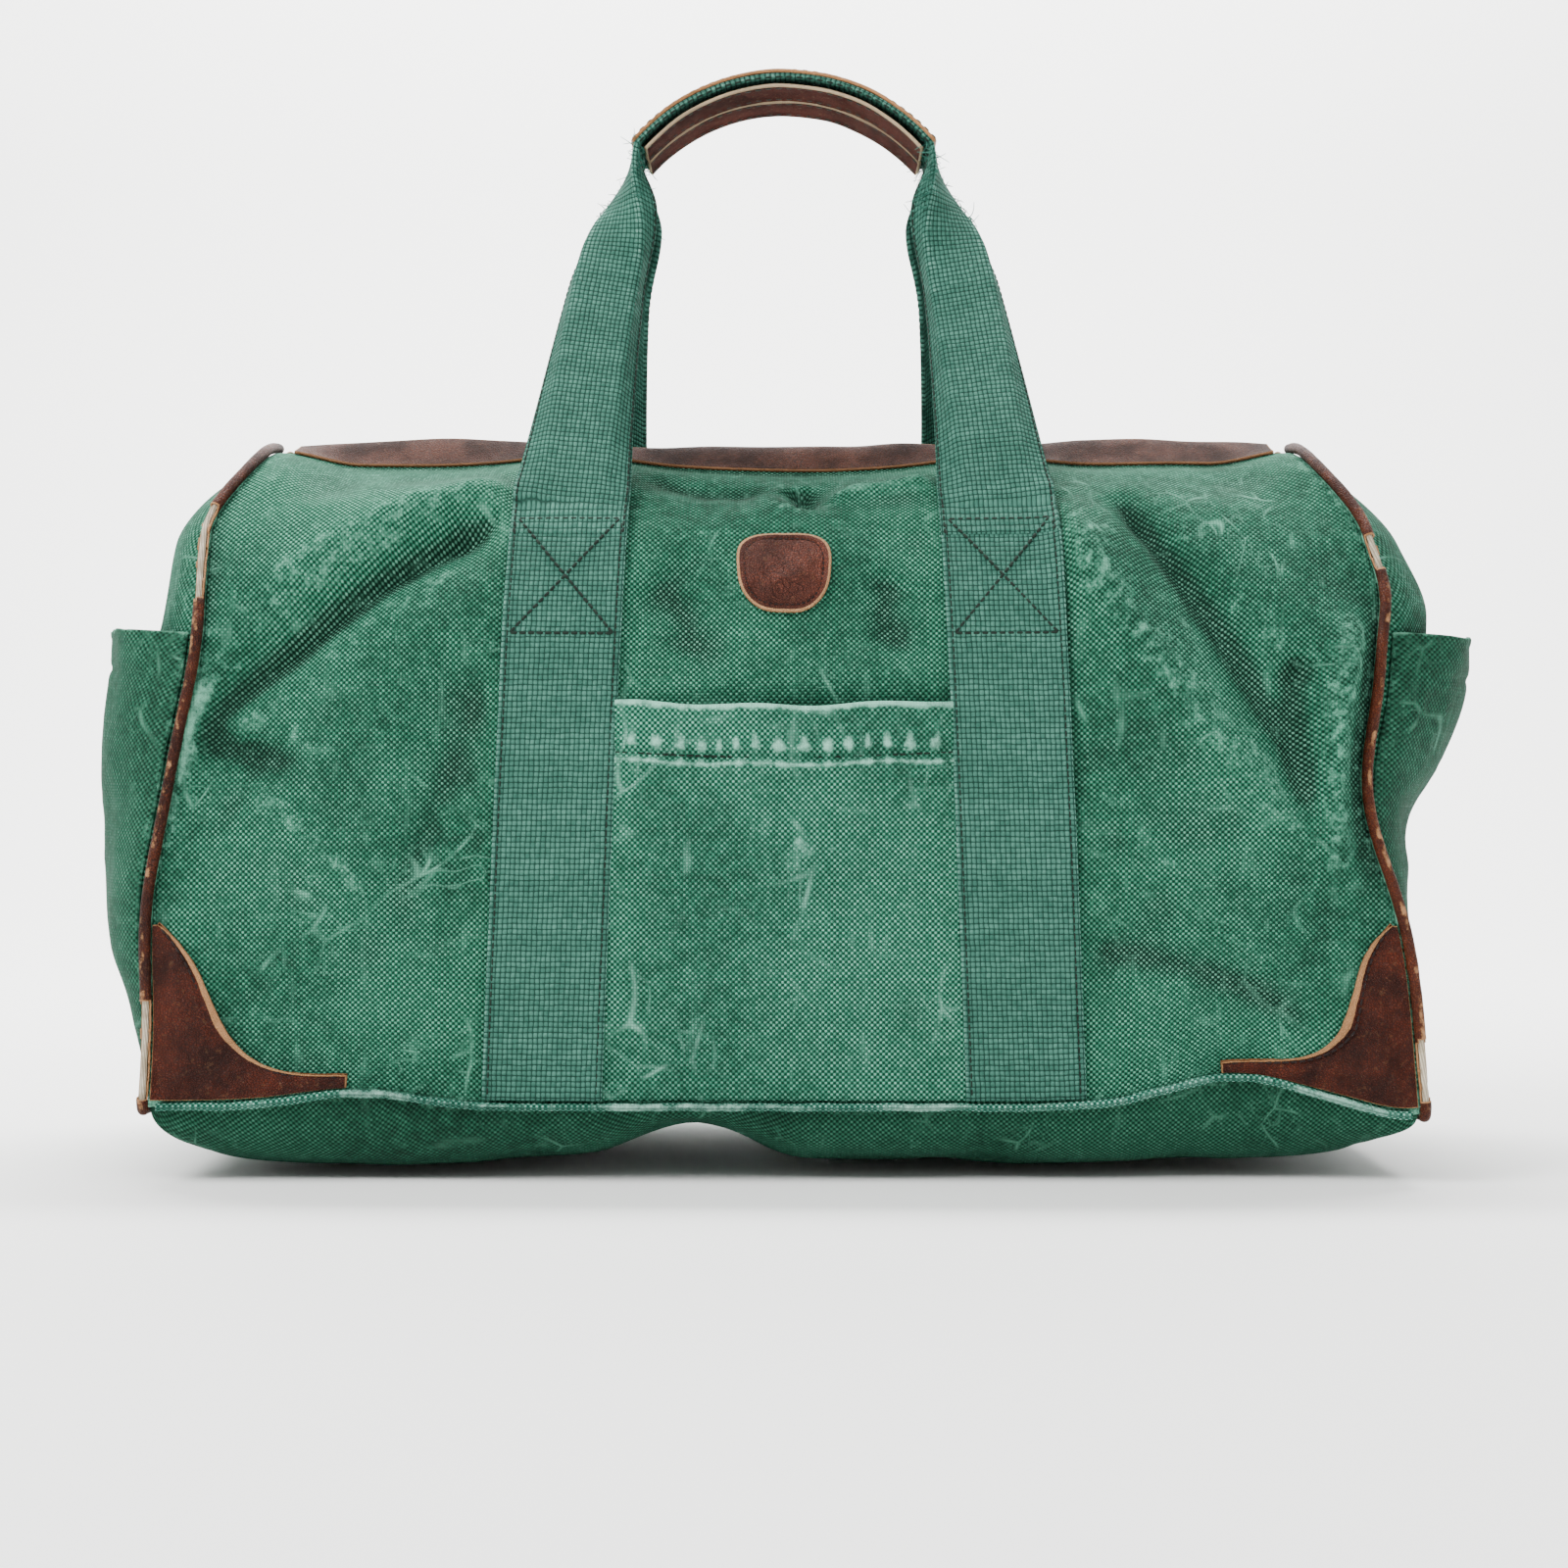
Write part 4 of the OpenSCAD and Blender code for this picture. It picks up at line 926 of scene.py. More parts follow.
def handle_sheet(face):
    """Grid of a handle's outer surface, its distances across and along, and its share of folding.
    Across, what lies beyond a quarter of the width turns under on a small arc: its turn is 90
    degrees where cos(turn) = 1 - share / 0.8 reaches 0, and closes to 180 degrees from there."""
    centre, out, along, share = handle_stations(face)
    wide = np.cross(along, out)
    a = [np.linspace(-1, -0.5, 9), np.linspace(-0.46, 0.46, 13), np.linspace(0.5, 1, 9)]
    a = np.concatenate(a) * strap_width / 2
    theta = np.arccos(np.clip(1 - share / 0.8, 0, 1)) + math.pi / 2 * smooth((share - 0.8) / 0.2)
    theta = theta[:, None]
    past = np.maximum(np.abs(a)[None, :] - strap_width / 4, 0)
    radius = fold_r + 0.004 * (1 - share[:, None])
    arc = radius * theta
    bend = np.minimum(past, arc) / radius
    flat = np.maximum(past - arc, 0)
    side = np.minimum(np.abs(a)[None, :], strap_width / 4) + radius * np.sin(bend)
    side = side + flat * np.cos(theta)
    under = radius * (1 - np.cos(bend)) + flat * np.sin(theta)
    side = side * np.sign(a)[None, :] * (1 - 0.05 * share[:, None])
    lift = fold_r * share[:, None] - under + strap_thick / 2
    bow = 0.0016 * noise(a[None, :] * 3, np.arange(len(share))[:, None] * 0.003, 0.05, 31 + face)
    bow = bow * (1 - share[:, None])
    grid = centre[:, None] + wide[:, None] * side[..., None] + out[:, None] * (lift + bow)[..., None]
    a, run = np.broadcast_arrays(a[None, :], run_along(centre)[:, None])
    return grid, a, run, share


def strap_root(face, end, a):
    """Rows of webbing on the cloth between the sewn strap and the leg, lifting off as they rise."""
    h = np.linspace(strap_end_h - 0.001, strap_top_h, 9)[:, None]
    stand = strap_stand + strap_thick + 0.0010 * smooth((h - strap_end_h) / 0.012)
    return panel_point(end * strap_x(h) + a[None, :], cloth_at_h(h), stand, face)


for face, side in both_faces:
    grid, a, run, share = handle_sheet(face)
    left_root = strap_root(face, -1, grid[0, :, 0] + strap_high)
    right_root = strap_root(face, 1, grid[-1, :, 0] - strap_high)[::-1]
    grid = np.concatenate([left_root, grid, right_root])
    a = np.concatenate([a[:9], a, a[:9]])
    run = np.concatenate([np.linspace(-0.012, -0.001, 9)[:, None] + 0 * a[:9], run,
                          run[-1, 0] + np.linspace(0.001, 0.012, 9)[:, None] + 0 * a[:9]])
    share = np.concatenate([np.zeros(9), share, np.zeros(9)])
    normal = np.cross(grid[30, 16] - grid[30, 14], grid[31, 15] - grid[29, 15])
    if (normal * [0, -face, 0]).sum() < 0:
        grid, a, run = grid[:, ::-1], a[:, ::-1], run[:, ::-1]
    wear = 0.45 * hump((np.abs(a) - strap_width / 2) / 0.002)
    wear = wear + 0.6 * hump((np.abs(a) - strap_width / 4) / 0.004) * share[:, None]
    handle = closed_sheet(side + "_handle_strap", grid, strap_thick, np.stack([a, run], -1),
                          {"wear": wear}, webbing_finish)
    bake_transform(handle)
    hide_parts(side + "_handle_webbing")
    normals = normals_of(grid)
    lines = [(grid[:, column], normals[:, column]) for column in (1, -2)]
    stitches = sew(side + "_handle_stitching", lines, green_thread, "webbing")
    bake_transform(stitches)


# ---- Grips ----------------------------------------------------------------------------------
# A strip of saddle leather outside the doubled webbing and another, darker with use, inside it,
# glued and stitched through. Their cut edges show, tan outside and cream inside.

leather_thick = 0.0016
grip_width = 0.026
stitch_in, stitch_lift = 0.0100, 0.0043
grain, given, wanted = node_group("leather_grain", ("Place Vector", "Scale"),
                                  ("Pebbles", "Clouds", "Nicks"))
pores = add(grain, "TexVoronoi", {"Vector": given["Place Vector"], "Scale": given["Scale"]},
            feature="DISTANCE_TO_EDGE")
grain.links.new(ramp(grain, pores.outputs["Distance"], 0.0, 0.28), wanted["Pebbles"])
grain.links.new(ramp(grain, cloudy(grain, given["Place Vector"], 38.0, 5.0, 0.65), 0.34, 0.66),
                wanted["Clouds"])
grain.links.new(ramp(grain, cloudy(grain, given["Place Vector"], 420.0, 3.0, 0.7), 0.58, 0.68),
                wanted["Nicks"])


def leather_finish(name, dark, warm, edge, roughness=0.5):
    """Oiled leather: pebbled grain, dark and warm clouds, creases and nicks. Where raw is 1 it
    shows the cut edge's colour, and where wear is 1 the finish is rubbed through to it."""
    finish, tree, shader, place = new_finish(name, roughness, 0.16)
    skin = use(tree, grain, {"Place Vector": place, "Scale": 850.0})
    folds = use(tree, creases, {"Place Vector": place, "Scale": 90.0, "Spread": 0.10})["Line"]
    colour = mixed(tree, skin["Clouds"], dark, warm)
    colour = mixed(tree, ramp(tree, skin["Pebbles"], 0.0, 0.7, 0.6, 0.0), colour,
                   tuple(0.35 * c for c in dark))
    colour = mixed(tree, times(tree, folds, 0.8), colour, tuple(0.25 * c for c in dark))
    colour = mixed(tree, times(tree, skin["Nicks"], 0.10), colour, edge)
    wear = painted(tree, "wear")
    fine = cloudy(tree, place, 260.0, 4.0, 0.7)
    rubbed = ramp(tree, calc(tree, "ADD", wear, fine), 0.82, 1.15)
    raw = painted(tree, "raw")
    cut = ramp(tree, calc(tree, "ADD", raw, times(tree, fine, 0.4)), 0.75, 1.0)
    tree.links.new(mixed(tree, calc(tree, "MAXIMUM", rubbed, cut), colour, edge),
                   shader.inputs["Base Color"])
    shine = calc(tree, "MULTIPLY_ADD", skin["Clouds"], -0.15, roughness + 0.15)
    tree.links.new(shine, shader.inputs["Roughness"])
    raised = calc(tree, "SUBTRACT", times(tree, skin["Pebbles"], 0.6), times(tree, folds, 0.9))
    bumped(tree, shader, calc(tree, "ADD", raised, times(tree, fine, 0.5)), 0.0005)
    return finish


saddle_leather = leather_finish("saddle_leather", (0.030, 0.007, 0.002), (0.100, 0.024, 0.007),
                                (0.36, 0.17, 0.070))
palm_leather = leather_finish("palm_leather", (0.030, 0.006, 0.003), (0.075, 0.014, 0.007),
                              (0.40, 0.30, 0.19), 0.85)
palm_leather.node_tree.nodes["Principled BSDF"].inputs["Specular IOR Level"].default_value = 0.03
for face, side in both_faces:
    centre, out, along, share = handle_stations(face)
    on = share == 1
    centre, out, along = centre[on], out[on], along[on]
    wide = np.cross(along, out)
    c = np.array([-1, -0.97, -0.9, -0.7, -0.4, 0, 0.4, 0.7, 0.9, 0.97, 1])[None, :]
    length = np.arange(len(centre))[:, None] / (len(centre) - 1)
    for layer, level, finish, node in (("cover", 0.00430, saddle_leather, "_grip_cover"),
                                       ("lining", -0.00270, palm_leather, "_grip_lining")):
        level = level + 0.0003 * noise(length * 0.2, c * 0.01, 0.02, 3 + face) - 0.0005 * np.abs(c) ** 6
        grid = centre[:, None] + wide[:, None] * (c * grip_width / 2 * 1.03)[..., None]
        grid = grid + out[:, None] * level[..., None]
        uv = np.stack(np.broadcast_arrays(c * grip_width / 2, length * 0.16), -1)
        outward = np.cross(grid[30, 6] - grid[30, 4], grid[31, 5] - grid[29, 5])
        order = slice(None) if (outward * out[30]).sum() > 0 else slice(None, None, -1)
        wear = 0.45 * hump((1 - np.abs(c)) / 0.08)
        strip = closed_sheet(side + "_grip_" + layer + "_leather", grid[:, order], leather_thick, uv,
                             {"wear": wear}, finish)
        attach(strip, side + "_handle")
        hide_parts(side + node)
    edge_lines = []
    for k in (-1, 1):
        rim = centre + wide * k * (grip_width / 2 + 0.0010)
        edge_lines.append((rim, wide * k))
        for way in (out, -out):
            edge_lines.append((centre + wide * k * stitch_in + way * stitch_lift, way))
    stitches = sew(side + "_grip_stitching", edge_lines, green_thread, "leather", pitch=0.0048)
    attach(stitches, side + "_handle")


# ---- Frayed ends of the grips -----------------------------------------------------------------
# Where the legs go into the grips the webbing has chafed through. Loose weft yarns stand out
# there in short curls.

count = 260
fray_yarn, tree, shader, place = new_finish("frayed_yarn", 0.9, 0.1)
shade = ramp(tree, cloudy(tree, place, 90.0), 0.35, 0.65)
tree.links.new(mixed(tree, shade, (0.010, 0.060, 0.042), (0.060, 0.200, 0.150)),
               shader.inputs["Base Color"])
for face, side in both_faces:
    centre, out, along, share = handle_stations(face)
    wide = np.cross(along, out)
    rng = np.random.RandomState(500 + face)
    pick = np.where(rng.rand(count) < 0.5, rng.randint(44, 57, count),
                    len(centre) - 1 - rng.randint(44, 57, count))
    edge = rng.choice([-1.0, 1.0], count) * (strap_width / 2 * (1 - 0.5 * share[pick]))
    edge = edge * rng.uniform(0.75, 1.0, count)
    start = centre[pick] + wide[pick] * edge[:, None]
    start = start + out[pick] * rng.uniform(-0.001, 0.002, count)[:, None]
    way = wide[pick] * np.sign(edge)[:, None] * rng.uniform(0.2, 1.0, count)[:, None]
    way = unit(way + rng.normal(0, 0.5, (count, 3)))
    curl = rng.normal(0, 1, (count, 3)) + [0, 0, -0.6]
    long = rng.uniform(0.002, 0.007, count)[:, None]
    t = np.linspace(0, 1, 7)[None, :, None]
    path = start[:, None] + long[:, None] * (way[:, None] * t + 0.45 * curl[:, None] * t ** 2)
    tangent = unit(np.gradient(path, axis=1))
    first = unit(np.cross(tangent, np.array([0.3, 0.9, 0.3])))
    second = np.cross(tangent, first)
    ring = circle(first, second, np.arange(4) * math.pi / 2)
    radius = (0.00028 * (1 - 0.6 * t))[..., None]
    points = (path[:, :, None] + ring * radius).reshape(-1, 3)
    quads = copied(grid_faces(7, 4, around=True)[:, ::-1], count, 28)
    caps = copied([[0, 1, 2, 3], [27, 26, 25, 24]], count, 28)
    fray = new_mesh(side + "_grip_fray", points, quads + caps)
    fray.data.materials.append(fray_yarn)
    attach(fray, side + "_handle")


# ---- Leather corners --------------------------------------------------------------------------
# A patch of thick, dark, creased hide covers each bottom corner of the front and rear. Its cut
# edge runs in an S from the end seam to the bottom seam and is stitched just inside.

patch_long, patch_tall, patch_tip = 0.085, 0.076, 0.006
hide_stand, seam_w = 0.0024, 0.87
corner_leather = leather_finish("corner_leather", (0.018, 0.003, 0.001), (0.072, 0.011, 0.003),
                                (0.30, 0.15, 0.065), 0.50)
hide_thread = thread_finish("hide_thread", (0.012, 0.004, 0.003))


def patch_point(t, w, face, end, out):
    """A point of a corner patch: t runs along its S-shaped cubic edge from the bottom to the end
    seam, and w from the corner's own two sides (0) out to that edge (1)."""
    lean = 0.002
    knots = np.array([[patch_long, patch_tip], [0.12 * patch_long, 0.13 * patch_tall],
                      [0.45 * patch_long, 0.72 * patch_tall], [lean, patch_tall]])
    b = [(1 - t) ** 3, 3 * (1 - t) ** 2 * t, 3 * (1 - t) * t ** 2, t ** 3]
    edge_in, edge_up = (sum(b[k] * knots[k, i] for k in range(4)) for i in (0, 1))
    low_in = patch_long * np.clip(1 - 2 * t, 0, 1)
    low_up = patch_tall * np.clip(2 * t - 1, 0, 1)
    inward = low_in * (1 - w) + edge_in * w + 0.0012
    up = low_up * (1 - w) + edge_up * w + 0.0030
    x = end * (seam_x(up, end) - inward)
    return panel_point(x, cloth_at_h(up), out, face), inward, up


for face, side in both_faces:
    for end, hand in both_ends:
        t = np.linspace(0, 1, 121)[:, None]
        w = np.concatenate([np.linspace(0, 0.93, 40), [0.95, 0.97, 0.985, 1]])[None, :]
        t, w = np.broadcast_arrays(t, w)
        _, inward, up = patch_point(t, w, face, end, 0 * t)
        rough = 0.0022 * crumple(inward + 0.5 * end, up, 50 + face)
        rough = rough + 0.0006 * noise(inward, up, 0.006, 8)
        rough = rough * smooth(np.minimum(inward, up) / 0.008)
        from_edge = (1 - w) * 0.022
        seam_dip = -0.0005 * hump((from_edge - 0.0028) / 0.0009)
        out = hide_stand + rough + seam_dip
        points, _, _ = patch_point(t, w, face, end, out)
        wear = 0.55 * worn(rough, 0.0006) + 0.30 * hump(up / 0.004)
        order = slice(None) if face * end > 0 else slice(None, None, -1)
        rim = smooth((w - 0.90) / 0.04)
        uv = np.stack([inward, up], -1)
        points, uv, wear = (v[::-1][:, order] for v in (points, uv, np.maximum(wear, rim)))
        patch = closed_sheet(side + "_" + hand + "_corner_hide", points, leather_thick, uv,
                             {"wear": wear}, corner_leather)
        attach(patch, "bag_body")
        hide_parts(side + "_" + hand + "_corner")
        k = np.linspace(0.02, 0.98, 80)
        line, _, _ = patch_point(k, np.full(80, seam_w), face, end, hide_stand)
        lifted, _, _ = patch_point(k, np.full(80, seam_w), face, end, hide_stand + 0.001)
        stitches = sew(side + "_" + hand + "_corner_stitching", [(line, lifted - line)],
                       hide_thread, "leather")
        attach(stitches, "bag_body")


# ---- Badge ------------------------------------------------------------------------------------
# A blank patch of saddle leather above the pocket, wide at the top and narrowing to a rounded
# foot, sewn in a groove just inside its cut edge.

badge_low, badge_high = (np.array(c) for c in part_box("badge"))
badge_wide, badge_tall = 1.05 * (badge_high[0] - badge_low[0]), 0.037
badge_h = 0.232
badge_square, groove_rho = 3.4, 0.835
badge_leather = leather_finish("badge_leather", (0.052, 0.014, 0.008), (0.140, 0.036, 0.020),
                               (0.36, 0.19, 0.09), 0.5)


def badge_point(a, rho, out):
    """A point of the badge: a turns round it, rho runs from its middle (0) to its edge (1). The
    outline is the rounded square |p|^3.4 + |q|^3.4 = 1, drawn in towards its foot."""
    p, q = np.cos(a), np.sin(a)
    size = (np.abs(p) ** badge_square + np.abs(q) ** badge_square) ** (-1 / badge_square)
    p, q = p * size * rho, q * size * rho
    x = p * badge_wide / 2 * (0.93 + 0.07 * q) * (1 - 0.22 * np.clip(-q, 0, 1) ** 2)
    return panel_point(x, cloth_at_h(badge_h) + q * badge_tall / 2, out, 1)


rho = np.array([0.02, 0.2, 0.4, 0.6, 0.72, 0.78, 0.81, 0.83, 0.86, 0.90, 0.95, 0.985, 1.0])[:, None]
a = np.linspace(0, 2 * math.pi, 97)[:-1][None, :]
groove = 0.0006 * hump((rho - groove_rho) / 0.035)
dome = 0.0007 * (1 - rho ** 2) + 0.0004 * noise(rho * np.cos(a) * 0.02, rho * np.sin(a) * 0.02, 0.006, 77)
top = badge_point(a, rho, 0.0030 - groove + dome - 0.0005 * rho ** 30)
count = rho.size * a.size
base = badge_point(a, np.array([[1.0]]), 0.0006)
points = np.concatenate([top.reshape(-1, 3), base.reshape(-1, 3)])
quads = grid_faces(rho.size + 1, a.size, around=True)
middle, back = list(range(a.size)), list(range(count + a.size - 1, count - 1, -1))
badge = new_mesh("blank_badge", points, quads[:, ::-1].tolist() + [middle, back])
cut = np.broadcast_to(smooth((rho - 0.93) / 0.03), (rho.size, a.size))
add_mask(badge, "raw", np.concatenate([cut.ravel(), np.ones(a.size)]))
badge.data.materials.append(badge_leather)
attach(badge, "front_mouth")
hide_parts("badge")
a = np.linspace(0, 2 * math.pi, 120)
line = badge_point(a, groove_rho, 0.0027)
stitches = sew("badge_stitching", [(line, badge_point(a, groove_rho, 0.0037) - line)], hide_thread,
               "leather", long=0.0017, pitch=0.0024, thick=0.0007)
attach(stitches, "front_mouth")


# ---- Piping -----------------------------------------------------------------------------------
# The end seams are piped: a cotton cord inside a thin leather sleeve, sewn in from the zip down
# each seam and round under the end. The sleeve has worn away over parts of the front corners.

piping_r, core_r = 0.0025, 0.00145
sleeve_thick = 0.0007
sleeve_leather = leather_finish("sleeve_leather", (0.026, 0.005, 0.002), (0.095, 0.020, 0.006),
                                (0.36, 0.18, 0.08), 0.45)
cord_finish, tree, shader, place = new_finish("cotton_cord", 0.9)
twist = add(tree, "UVMap", uv_map="Cloth").outputs[0]
strands = add(tree, "TexWave", {"Vector": twist, "Scale": 1.0, "Distortion": 0.4},
              bands_direction="DIAGONAL").outputs["Fac"]
dirt = ramp(tree, cloudy(tree, place, 120.0), 0.35, 0.7)
ground = mixed(tree, dirt, (0.36, 0.30, 0.21), (0.66, 0.58, 0.44))
# Painted shade: the grooves between the twisted strands are darkened.
ground = mixed(tree, ramp(tree, strands, 0.0, 0.5, 0.6, 0.0), ground, (0.22, 0.17, 0.11))
tree.links.new(ground, shader.inputs["Base Color"])
bumped(tree, shader, strands, 0.0005)


def seam_path(face, end):
    """Points down an end seam from the zip, and round under the end to its middle, a cord's
    radius clear of the cloth of both panels, with each point's height up the cloth."""
    clear = piping_r * 0.7071 + 0.0004
    s = np.linspace(panel_top - 0.002, 0.004, 230)
    h = np.interp(s, section_s, section_h)
    run = panel_point(end * seam_x(h, end), s, clear, face)
    run[:, 0] += end * clear
    foot = run[-1]
    k = np.linspace(0, 1, 12)[1:, None]
    bend = np.concatenate([k, k ** 2, smooth(k)], 1)
    turn = foot + np.array([end * 0.0004, face * 0.0045, -0.0055]) * bend
    under = np.linspace(0, 1, 60)[1:, None]
    run_under = turn[-1] * (1 - under) + np.array([turn[-1][0], 0, turn[-1][2]]) * under
    path = np.concatenate([run, turn, run_under])
    return path, np.concatenate([s, np.zeros(len(path) - len(s))])


def tube(path, radius, around):
    """Grid of a round tube about a path that keeps clear of the X direction: each ring is the
    radius times the cosine and sine of its turn along the two directions across the path."""
    along = unit(np.gradient(path, axis=0))
    first = unit(np.array([1.0, 0, 0]) - along * along[:, :1])
    second = np.cross(along, first)
    ring = circle(first, second, np.arange(around) * 2 * math.pi / around)
    return path[:, None] + ring * np.broadcast_to(radius, (len(path), around))[..., None], ring


around, cord_around = 20, 10
# Where the sleeve has worn through on the front, as distances up the cloth
bare_runs = {-1: [(0.000, 0.046), (0.222, 0.268)], 1: [(0.006, 0.030), (0.236, 0.252)]}
for face, side in both_faces:
    for end, hand in both_ends:
        path, up = seam_path(face, end)
        run = run_along(path)
        uneven = piping_r * (1 + 0.05 * noise(run[:, None], np.zeros((1, around)), 0.006, 17 + end))
        grid, ring = tube(path, uneven, around)
        facing = ring @ unit(np.array([0.5 * end, -face, 0.1]))
        ragged = noise(run[:, None], np.arange(around)[None, :] * 0.0012, 0.004, 23 + end)
        bare = np.zeros(facing.shape)
        for low, high in bare_runs[end] if face > 0 else []:
            inside = smooth((up - low) / 0.004 + 0.5) * smooth((high - up) / 0.004 + 0.5)
            bare = np.maximum(bare, inside[:, None])
        open_side = (bare * (0.9 + facing) + 0.35 * ragged > 0.95) & (bare > 0.2)
        near = smooth((bare * (1.3 + facing) + 0.35 * ragged - 0.55) / 0.4) * bare
        wear = 0.35 * smooth((facing - 0.6) / 0.4) + 0.6 * near + 0.25 * ragged * smooth(facing)
        wear = np.clip(wear, 0, 1)
        inner = path[:, None] + ring * (uneven - sleeve_thick)[..., None]
        quads = grid_faces(len(path), around, around=True)
        shown = ~open_side.reshape(-1)[quads].any(1)
        count = grid.shape[0] * around
        kept = quads[shown][:, ::-1]
        edges = np.concatenate([kept[:, [0, 1]], kept[:, [1, 2]], kept[:, [2, 3]], kept[:, [3, 0]]])
        key = edges[:, 0] * count * 2 + edges[:, 1]
        rim = edges[~np.isin(key, edges[:, 1] * count * 2 + edges[:, 0])]
        walls = np.stack([rim[:, 1], rim[:, 0], rim[:, 0] + count, rim[:, 1] + count], -1)
        faces = np.concatenate([kept, kept[:, ::-1] + count, walls])
        used = np.unique(faces)
        remap = np.zeros(count * 2, int)
        remap[used] = np.arange(len(used))
        every = np.concatenate([grid.reshape(-1, 3), inner.reshape(-1, 3)])
        sleeve = new_mesh(side + "_" + hand + "_piping_sleeve", every[used], remap[faces].tolist())
        raw = np.zeros(count * 2)
        raw[np.unique(rim)] = 1
        raw[np.unique(rim) + count] = 1
        add_mask(sleeve, "raw", raw[used])
        add_mask(sleeve, "wear", np.concatenate([wear.ravel(), wear.ravel()])[used])
        sleeve.data.materials.append(sleeve_leather)
        core, _ = tube(path, core_r, cord_around)
        count = core.shape[0] * cord_around
        quads = grid_faces(len(path), cord_around, around=True)[:, ::-1]
        caps = [list(range(cord_around)), list(range(count - 1, count - cord_around - 1, -1))]
        cord = new_mesh(side + "_" + hand + "_piping_cord", core, quads.tolist() + caps)
        lay = np.broadcast_arrays(run[:, None] * 70, np.arange(cord_around)[None, :] * 0.5)
        add_cloth_uv(cord, np.stack(lay, -1))
        cord.data.materials.append(cord_finish)
        for piece in (sleeve, cord):
            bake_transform(piece)
        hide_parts(hand + "_piping", side + "_" + hand + "_piping")
        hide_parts("lower_piping_cords", side + "_piping_cords")


# ---- Bottom welts -----------------------------------------------------------------------------
# The bottom seams have a welt of the body canvas rolled over itself, rubbed nearly white.

welt_r = 0.0018
welt_finish = canvas_finish("welt_canvas", (0.004, 0.060, 0.036), (0.012, 0.130, 0.082),
                            (0.38, 0.66, 0.54), 0.6)
for face, side in both_faces:
    x = np.linspace(-1, 1, 360) * (body_length / 2 - 0.004)
    lift = seam_lift(x * face)
    wavy = seam_z + lift + 0.0003 * noise(x, 0 * x, 0.01, 4)
    path = np.stack([x, np.full(x.shape, -face * (half_depth + welt_r + 0.0002)), wavy], -1)
    along = unit(np.gradient(path, axis=0))
    up = unit(np.array([0, 0, 1.0]) - along * along[:, 2:])
    outward = np.cross(along, up)
    around = 16
    a = np.arange(around) * 2 * math.pi / around
    size = welt_r * (1 + 0.10 * noise(x[:, None], np.arange(around)[None, :] * 0.002, 0.007, 12))
    grid = path[:, None] + circle(outward, up, a) * size[..., None]
    count = len(x) * around
    quads = grid_faces(len(x), around, around=True)
    caps = [list(range(around))[::-1], list(range(count - around, count))]
    welt = new_mesh(side + "_bottom_welt", grid, quads.tolist() + caps)
    add_cloth_uv(welt, np.stack(np.broadcast_arrays(x[:, None], a[None, :] * welt_r), -1))
    rub = 0.34 * smooth(outward[:, 1:2] * -face * np.cos(a)[None, :])
    rub = rub + 0.40 * noise(x[:, None], a[None, :] * 0.002, 0.02, 3)
    add_mask(welt, "wear", rub)
    welt.data.materials.append(welt_finish)
    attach(welt, "bag_body")
    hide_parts(side + "_welt")


# ---- Zip facings ------------------------------------------------------------------------------
# A band of brown leather lies along both sides of the zip. Its zip edge stands up where the
# crest sags between the handles.

facing_wide, facing_end, facing_thick = 0.018, 0.008, 0.0014
facing_leather = leather_finish("facing_leather", (0.020, 0.005, 0.002), (0.075, 0.018, 0.006),
                                (0.24, 0.11, 0.05), 0.6)
for face, side in both_faces:
    y = np.linspace(zip_half_gap + facing_wide, zip_half_gap + 0.0005, 16)[:, None]
    s = cloth_at_y(y)
    reach = seam_x(roof_z - seam_z, 1) - facing_end
    x = (np.linspace(-1, 1, 260) * reach * face)[None, :]
    x, s = np.broadcast_arrays(x, s)
    rise = (zip_half_gap + facing_wide - np.broadcast_to(y, x.shape)) / facing_wide
    lip = 0.0016 + humps(x, (0.0034, -0.155, 0.050), (0.0034, 0.165, 0.065), (0.0022, 0.055, 0.02))
    lip = lip + 0.0010 * noise(x, s, 0.025, 19)
    out = 0.0019 + lip * rise ** 2
    band = closed_sheet(side + "_zip_facing_leather", panel_point(x, s, out, face), facing_thick,
                        np.stack([x, s], -1), {"wear": 0.3 * rise}, facing_leather)
    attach(band, side + "_mouth")
    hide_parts(side + "_facing")


# ---- Zip --------------------------------------------------------------------------------------
# Black tape sewn inside the canvas edges carries a chunky black coil, over the top and down the
# middle of both ends. Each tooth is one turn of the coil.

coil_wide, coil_gap, coil_tall = 0.0028, 0.0012, 0.0026
tooth_pitch = 0.0024
zip_sunk = 0.0038
tape_thick = 0.0010
tape_finish, tree, shader, place = new_finish("zip_tape", 0.85)
ribs = add(tree, "TexWave", {"Vector": place, "Scale": 420.0}, bands_direction="X").outputs["Fac"]
# The ribs are painted darker in their grooves, as painted shade, and lighter on their tops.
tree.links.new(mixed(tree, ribs, (0.006, 0.008, 0.007), (0.028, 0.032, 0.028)), shader.inputs["Base Color"])
bumped(tree, shader, ribs, 0.0002)
coil_finish, tree, shader, place = new_finish("zip_coil", 0.38)
soot = ramp(tree, cloudy(tree, place, 200.0), 0.35, 0.7)
tree.links.new(mixed(tree, soot, (0.008, 0.008, 0.008), (0.035, 0.034, 0.032)), shader.inputs["Base Color"])
tree.links.new(ramp(tree, soot, 0.0, 1.0, 0.3, 0.55), shader.inputs["Roughness"])


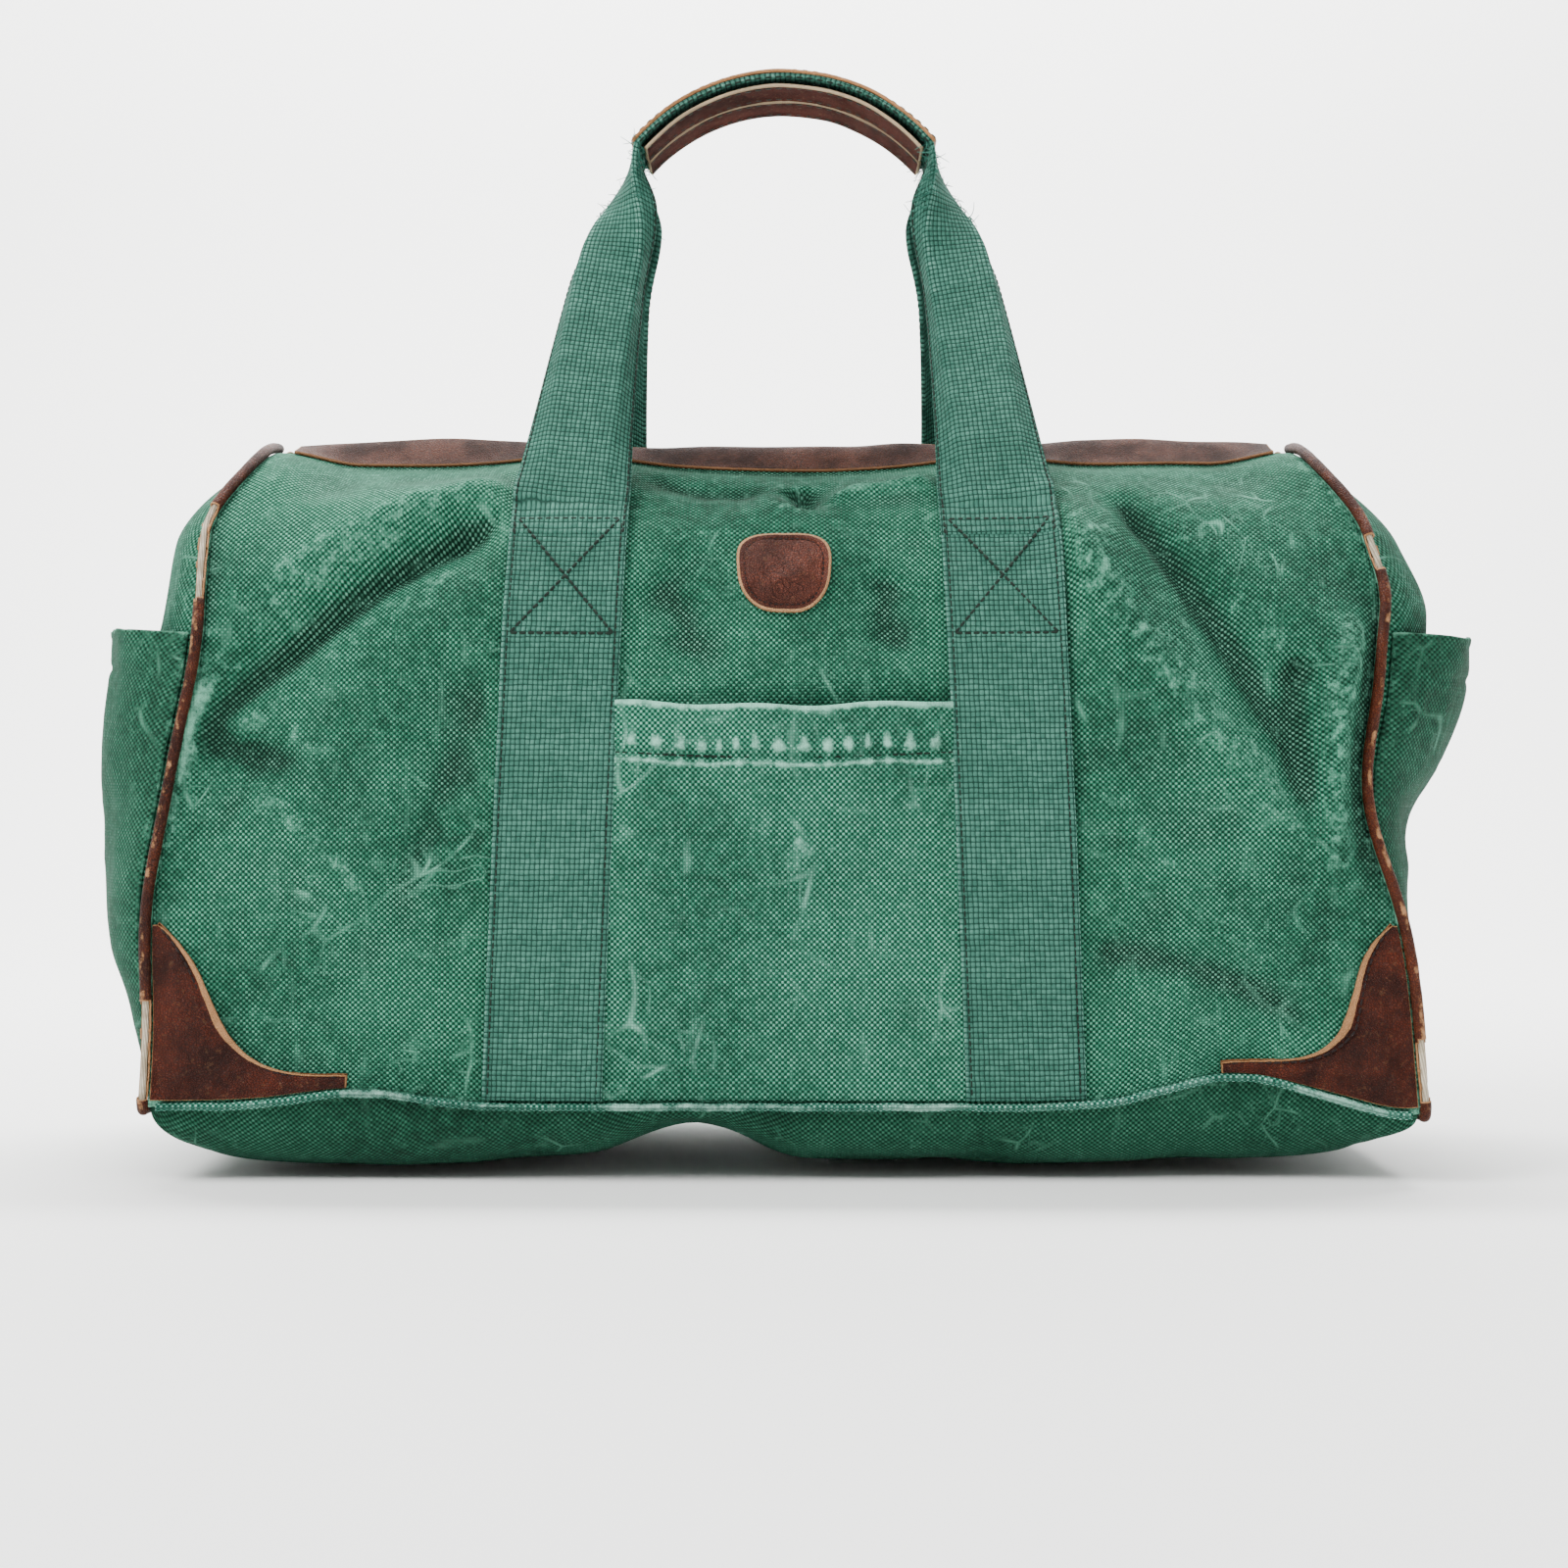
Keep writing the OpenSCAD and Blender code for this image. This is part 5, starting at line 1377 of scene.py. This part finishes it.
def zip_run(out):
    """The line of the zip, over the roof from the left fold line to the right, moved out."""
    h = np.linspace(fold_h + 0.0012, body_height * 0.9998, 160)
    right = np.stack([seam_x(h, 1) + end_bulge * fullness(0 * h, h), seam_z + h], -1)
    left = np.stack([-(seam_x(h, -1) + end_bulge * fullness(0 * h, h)), seam_z + h], -1)
    line = np.concatenate([left, right[::-1]])
    line = np.concatenate([line[:160], np.linspace(line[159], line[160], 80)[1:-1], line[160:]])
    smoothed = line.copy()
    for _ in range(30):
        smoothed[1:-1] = (smoothed[:-2] + 2 * smoothed[1:-1] + smoothed[2:]) / 4
    along = unit(np.gradient(smoothed, axis=0))
    return smoothed + out * np.stack([-along[:, 1], along[:, 0]], -1), along


line, along = zip_run(-zip_sunk + 0.0005)
for face, side in both_faces:
    y = -face * np.linspace(zip_half_gap + 0.002, coil_gap / 2 + 0.0010, 8)
    order = slice(None, None, -face)
    grid = np.zeros((len(y), len(line), 3))
    grid[..., 0], grid[..., 1], grid[..., 2] = line[None, :, 0], y[:, None], line[None, :, 1]
    grid = grid[:, ::face]
    tape = closed_sheet(side + "_zip_tape_band", grid, tape_thick, grid[..., :2], (), tape_finish)
    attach(tape, side + "_mouth")
    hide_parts(side + "_zip_tape")
    mid, direction = zip_run(-zip_sunk)
    run = run_along(mid)
    where = np.arange(0.5 * tooth_pitch if face > 0 else tooth_pitch, run[-1], tooth_pitch)
    place_at = np.stack([np.interp(where, run, mid[:, k]) for k in (0, 1)], -1)
    way = unit(np.stack([np.interp(where, run, direction[:, k]) for k in (0, 1)], -1))
    turns = np.arange(8) * math.pi / 4
    across = coil_gap / 2 + np.array([-0.0001, 0.0004, coil_wide - 0.0005, coil_wide])
    size = np.array([0.55, 1.0, 1.0, 0.6])
    points = np.zeros((len(where), 4, 8, 3))
    run_part = np.cos(turns)[None, :] * size[:, None] * 0.00085
    tall_part = np.sin(turns)[None, :] * size[:, None] * coil_tall / 2
    way_x, way_z = way[:, 0, None, None], way[:, 1, None, None]
    points[..., 0] = place_at[:, 0, None, None] + way_x * run_part - way_z * tall_part
    points[..., 2] = place_at[:, 1, None, None] + way_z * run_part + way_x * tall_part
    points[..., 1] = (-face * across)[None, :, None]
    tooth = grid_faces(4, 8, around=True)[:, order]
    caps = np.array([range(7, -1, -1), range(24, 32)])[:, order]
    faces = copied(tooth, len(where), 32) + copied(caps, len(where), 32)
    coil = new_mesh(side + "_zip_teeth", points, faces)
    coil.data.materials.append(coil_finish)
    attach(coil, side + "_mouth")
    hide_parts(side + "_zip_coil")


# ---- Zip slider, link, pull and stops ---------------------------------------------------------
# The slider and its link are blackened metal, worn bright at their edges, and the pull is a slip
# of leather folded round the link's bar. Metal stops are clamped across both ends of the coil.

metal_finish, tree, shader, place = new_finish("blackened_metal", 0.35)
shader.inputs["Metallic"].default_value = 0.9
scuff = ramp(tree, cloudy(tree, place, 320.0, 4.0, 0.7), 0.48, 0.66)
tree.links.new(mixed(tree, scuff, (0.030, 0.029, 0.027), (0.22, 0.20, 0.17)), shader.inputs["Base Color"])
tree.links.new(ramp(tree, scuff, 0.0, 1.0, 0.45, 0.28), shader.inputs["Roughness"])
bumped(tree, shader, cloudy(tree, place, 900.0), 0.0001)
for node, finish in (("zip_slider", metal_finish), ("zip_link", metal_finish), ("zip_stops", metal_finish),
                     ("pull_tab", saddle_leather)):
    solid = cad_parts[node]
    solid.data.materials.clear()
    solid.data.materials.append(finish)
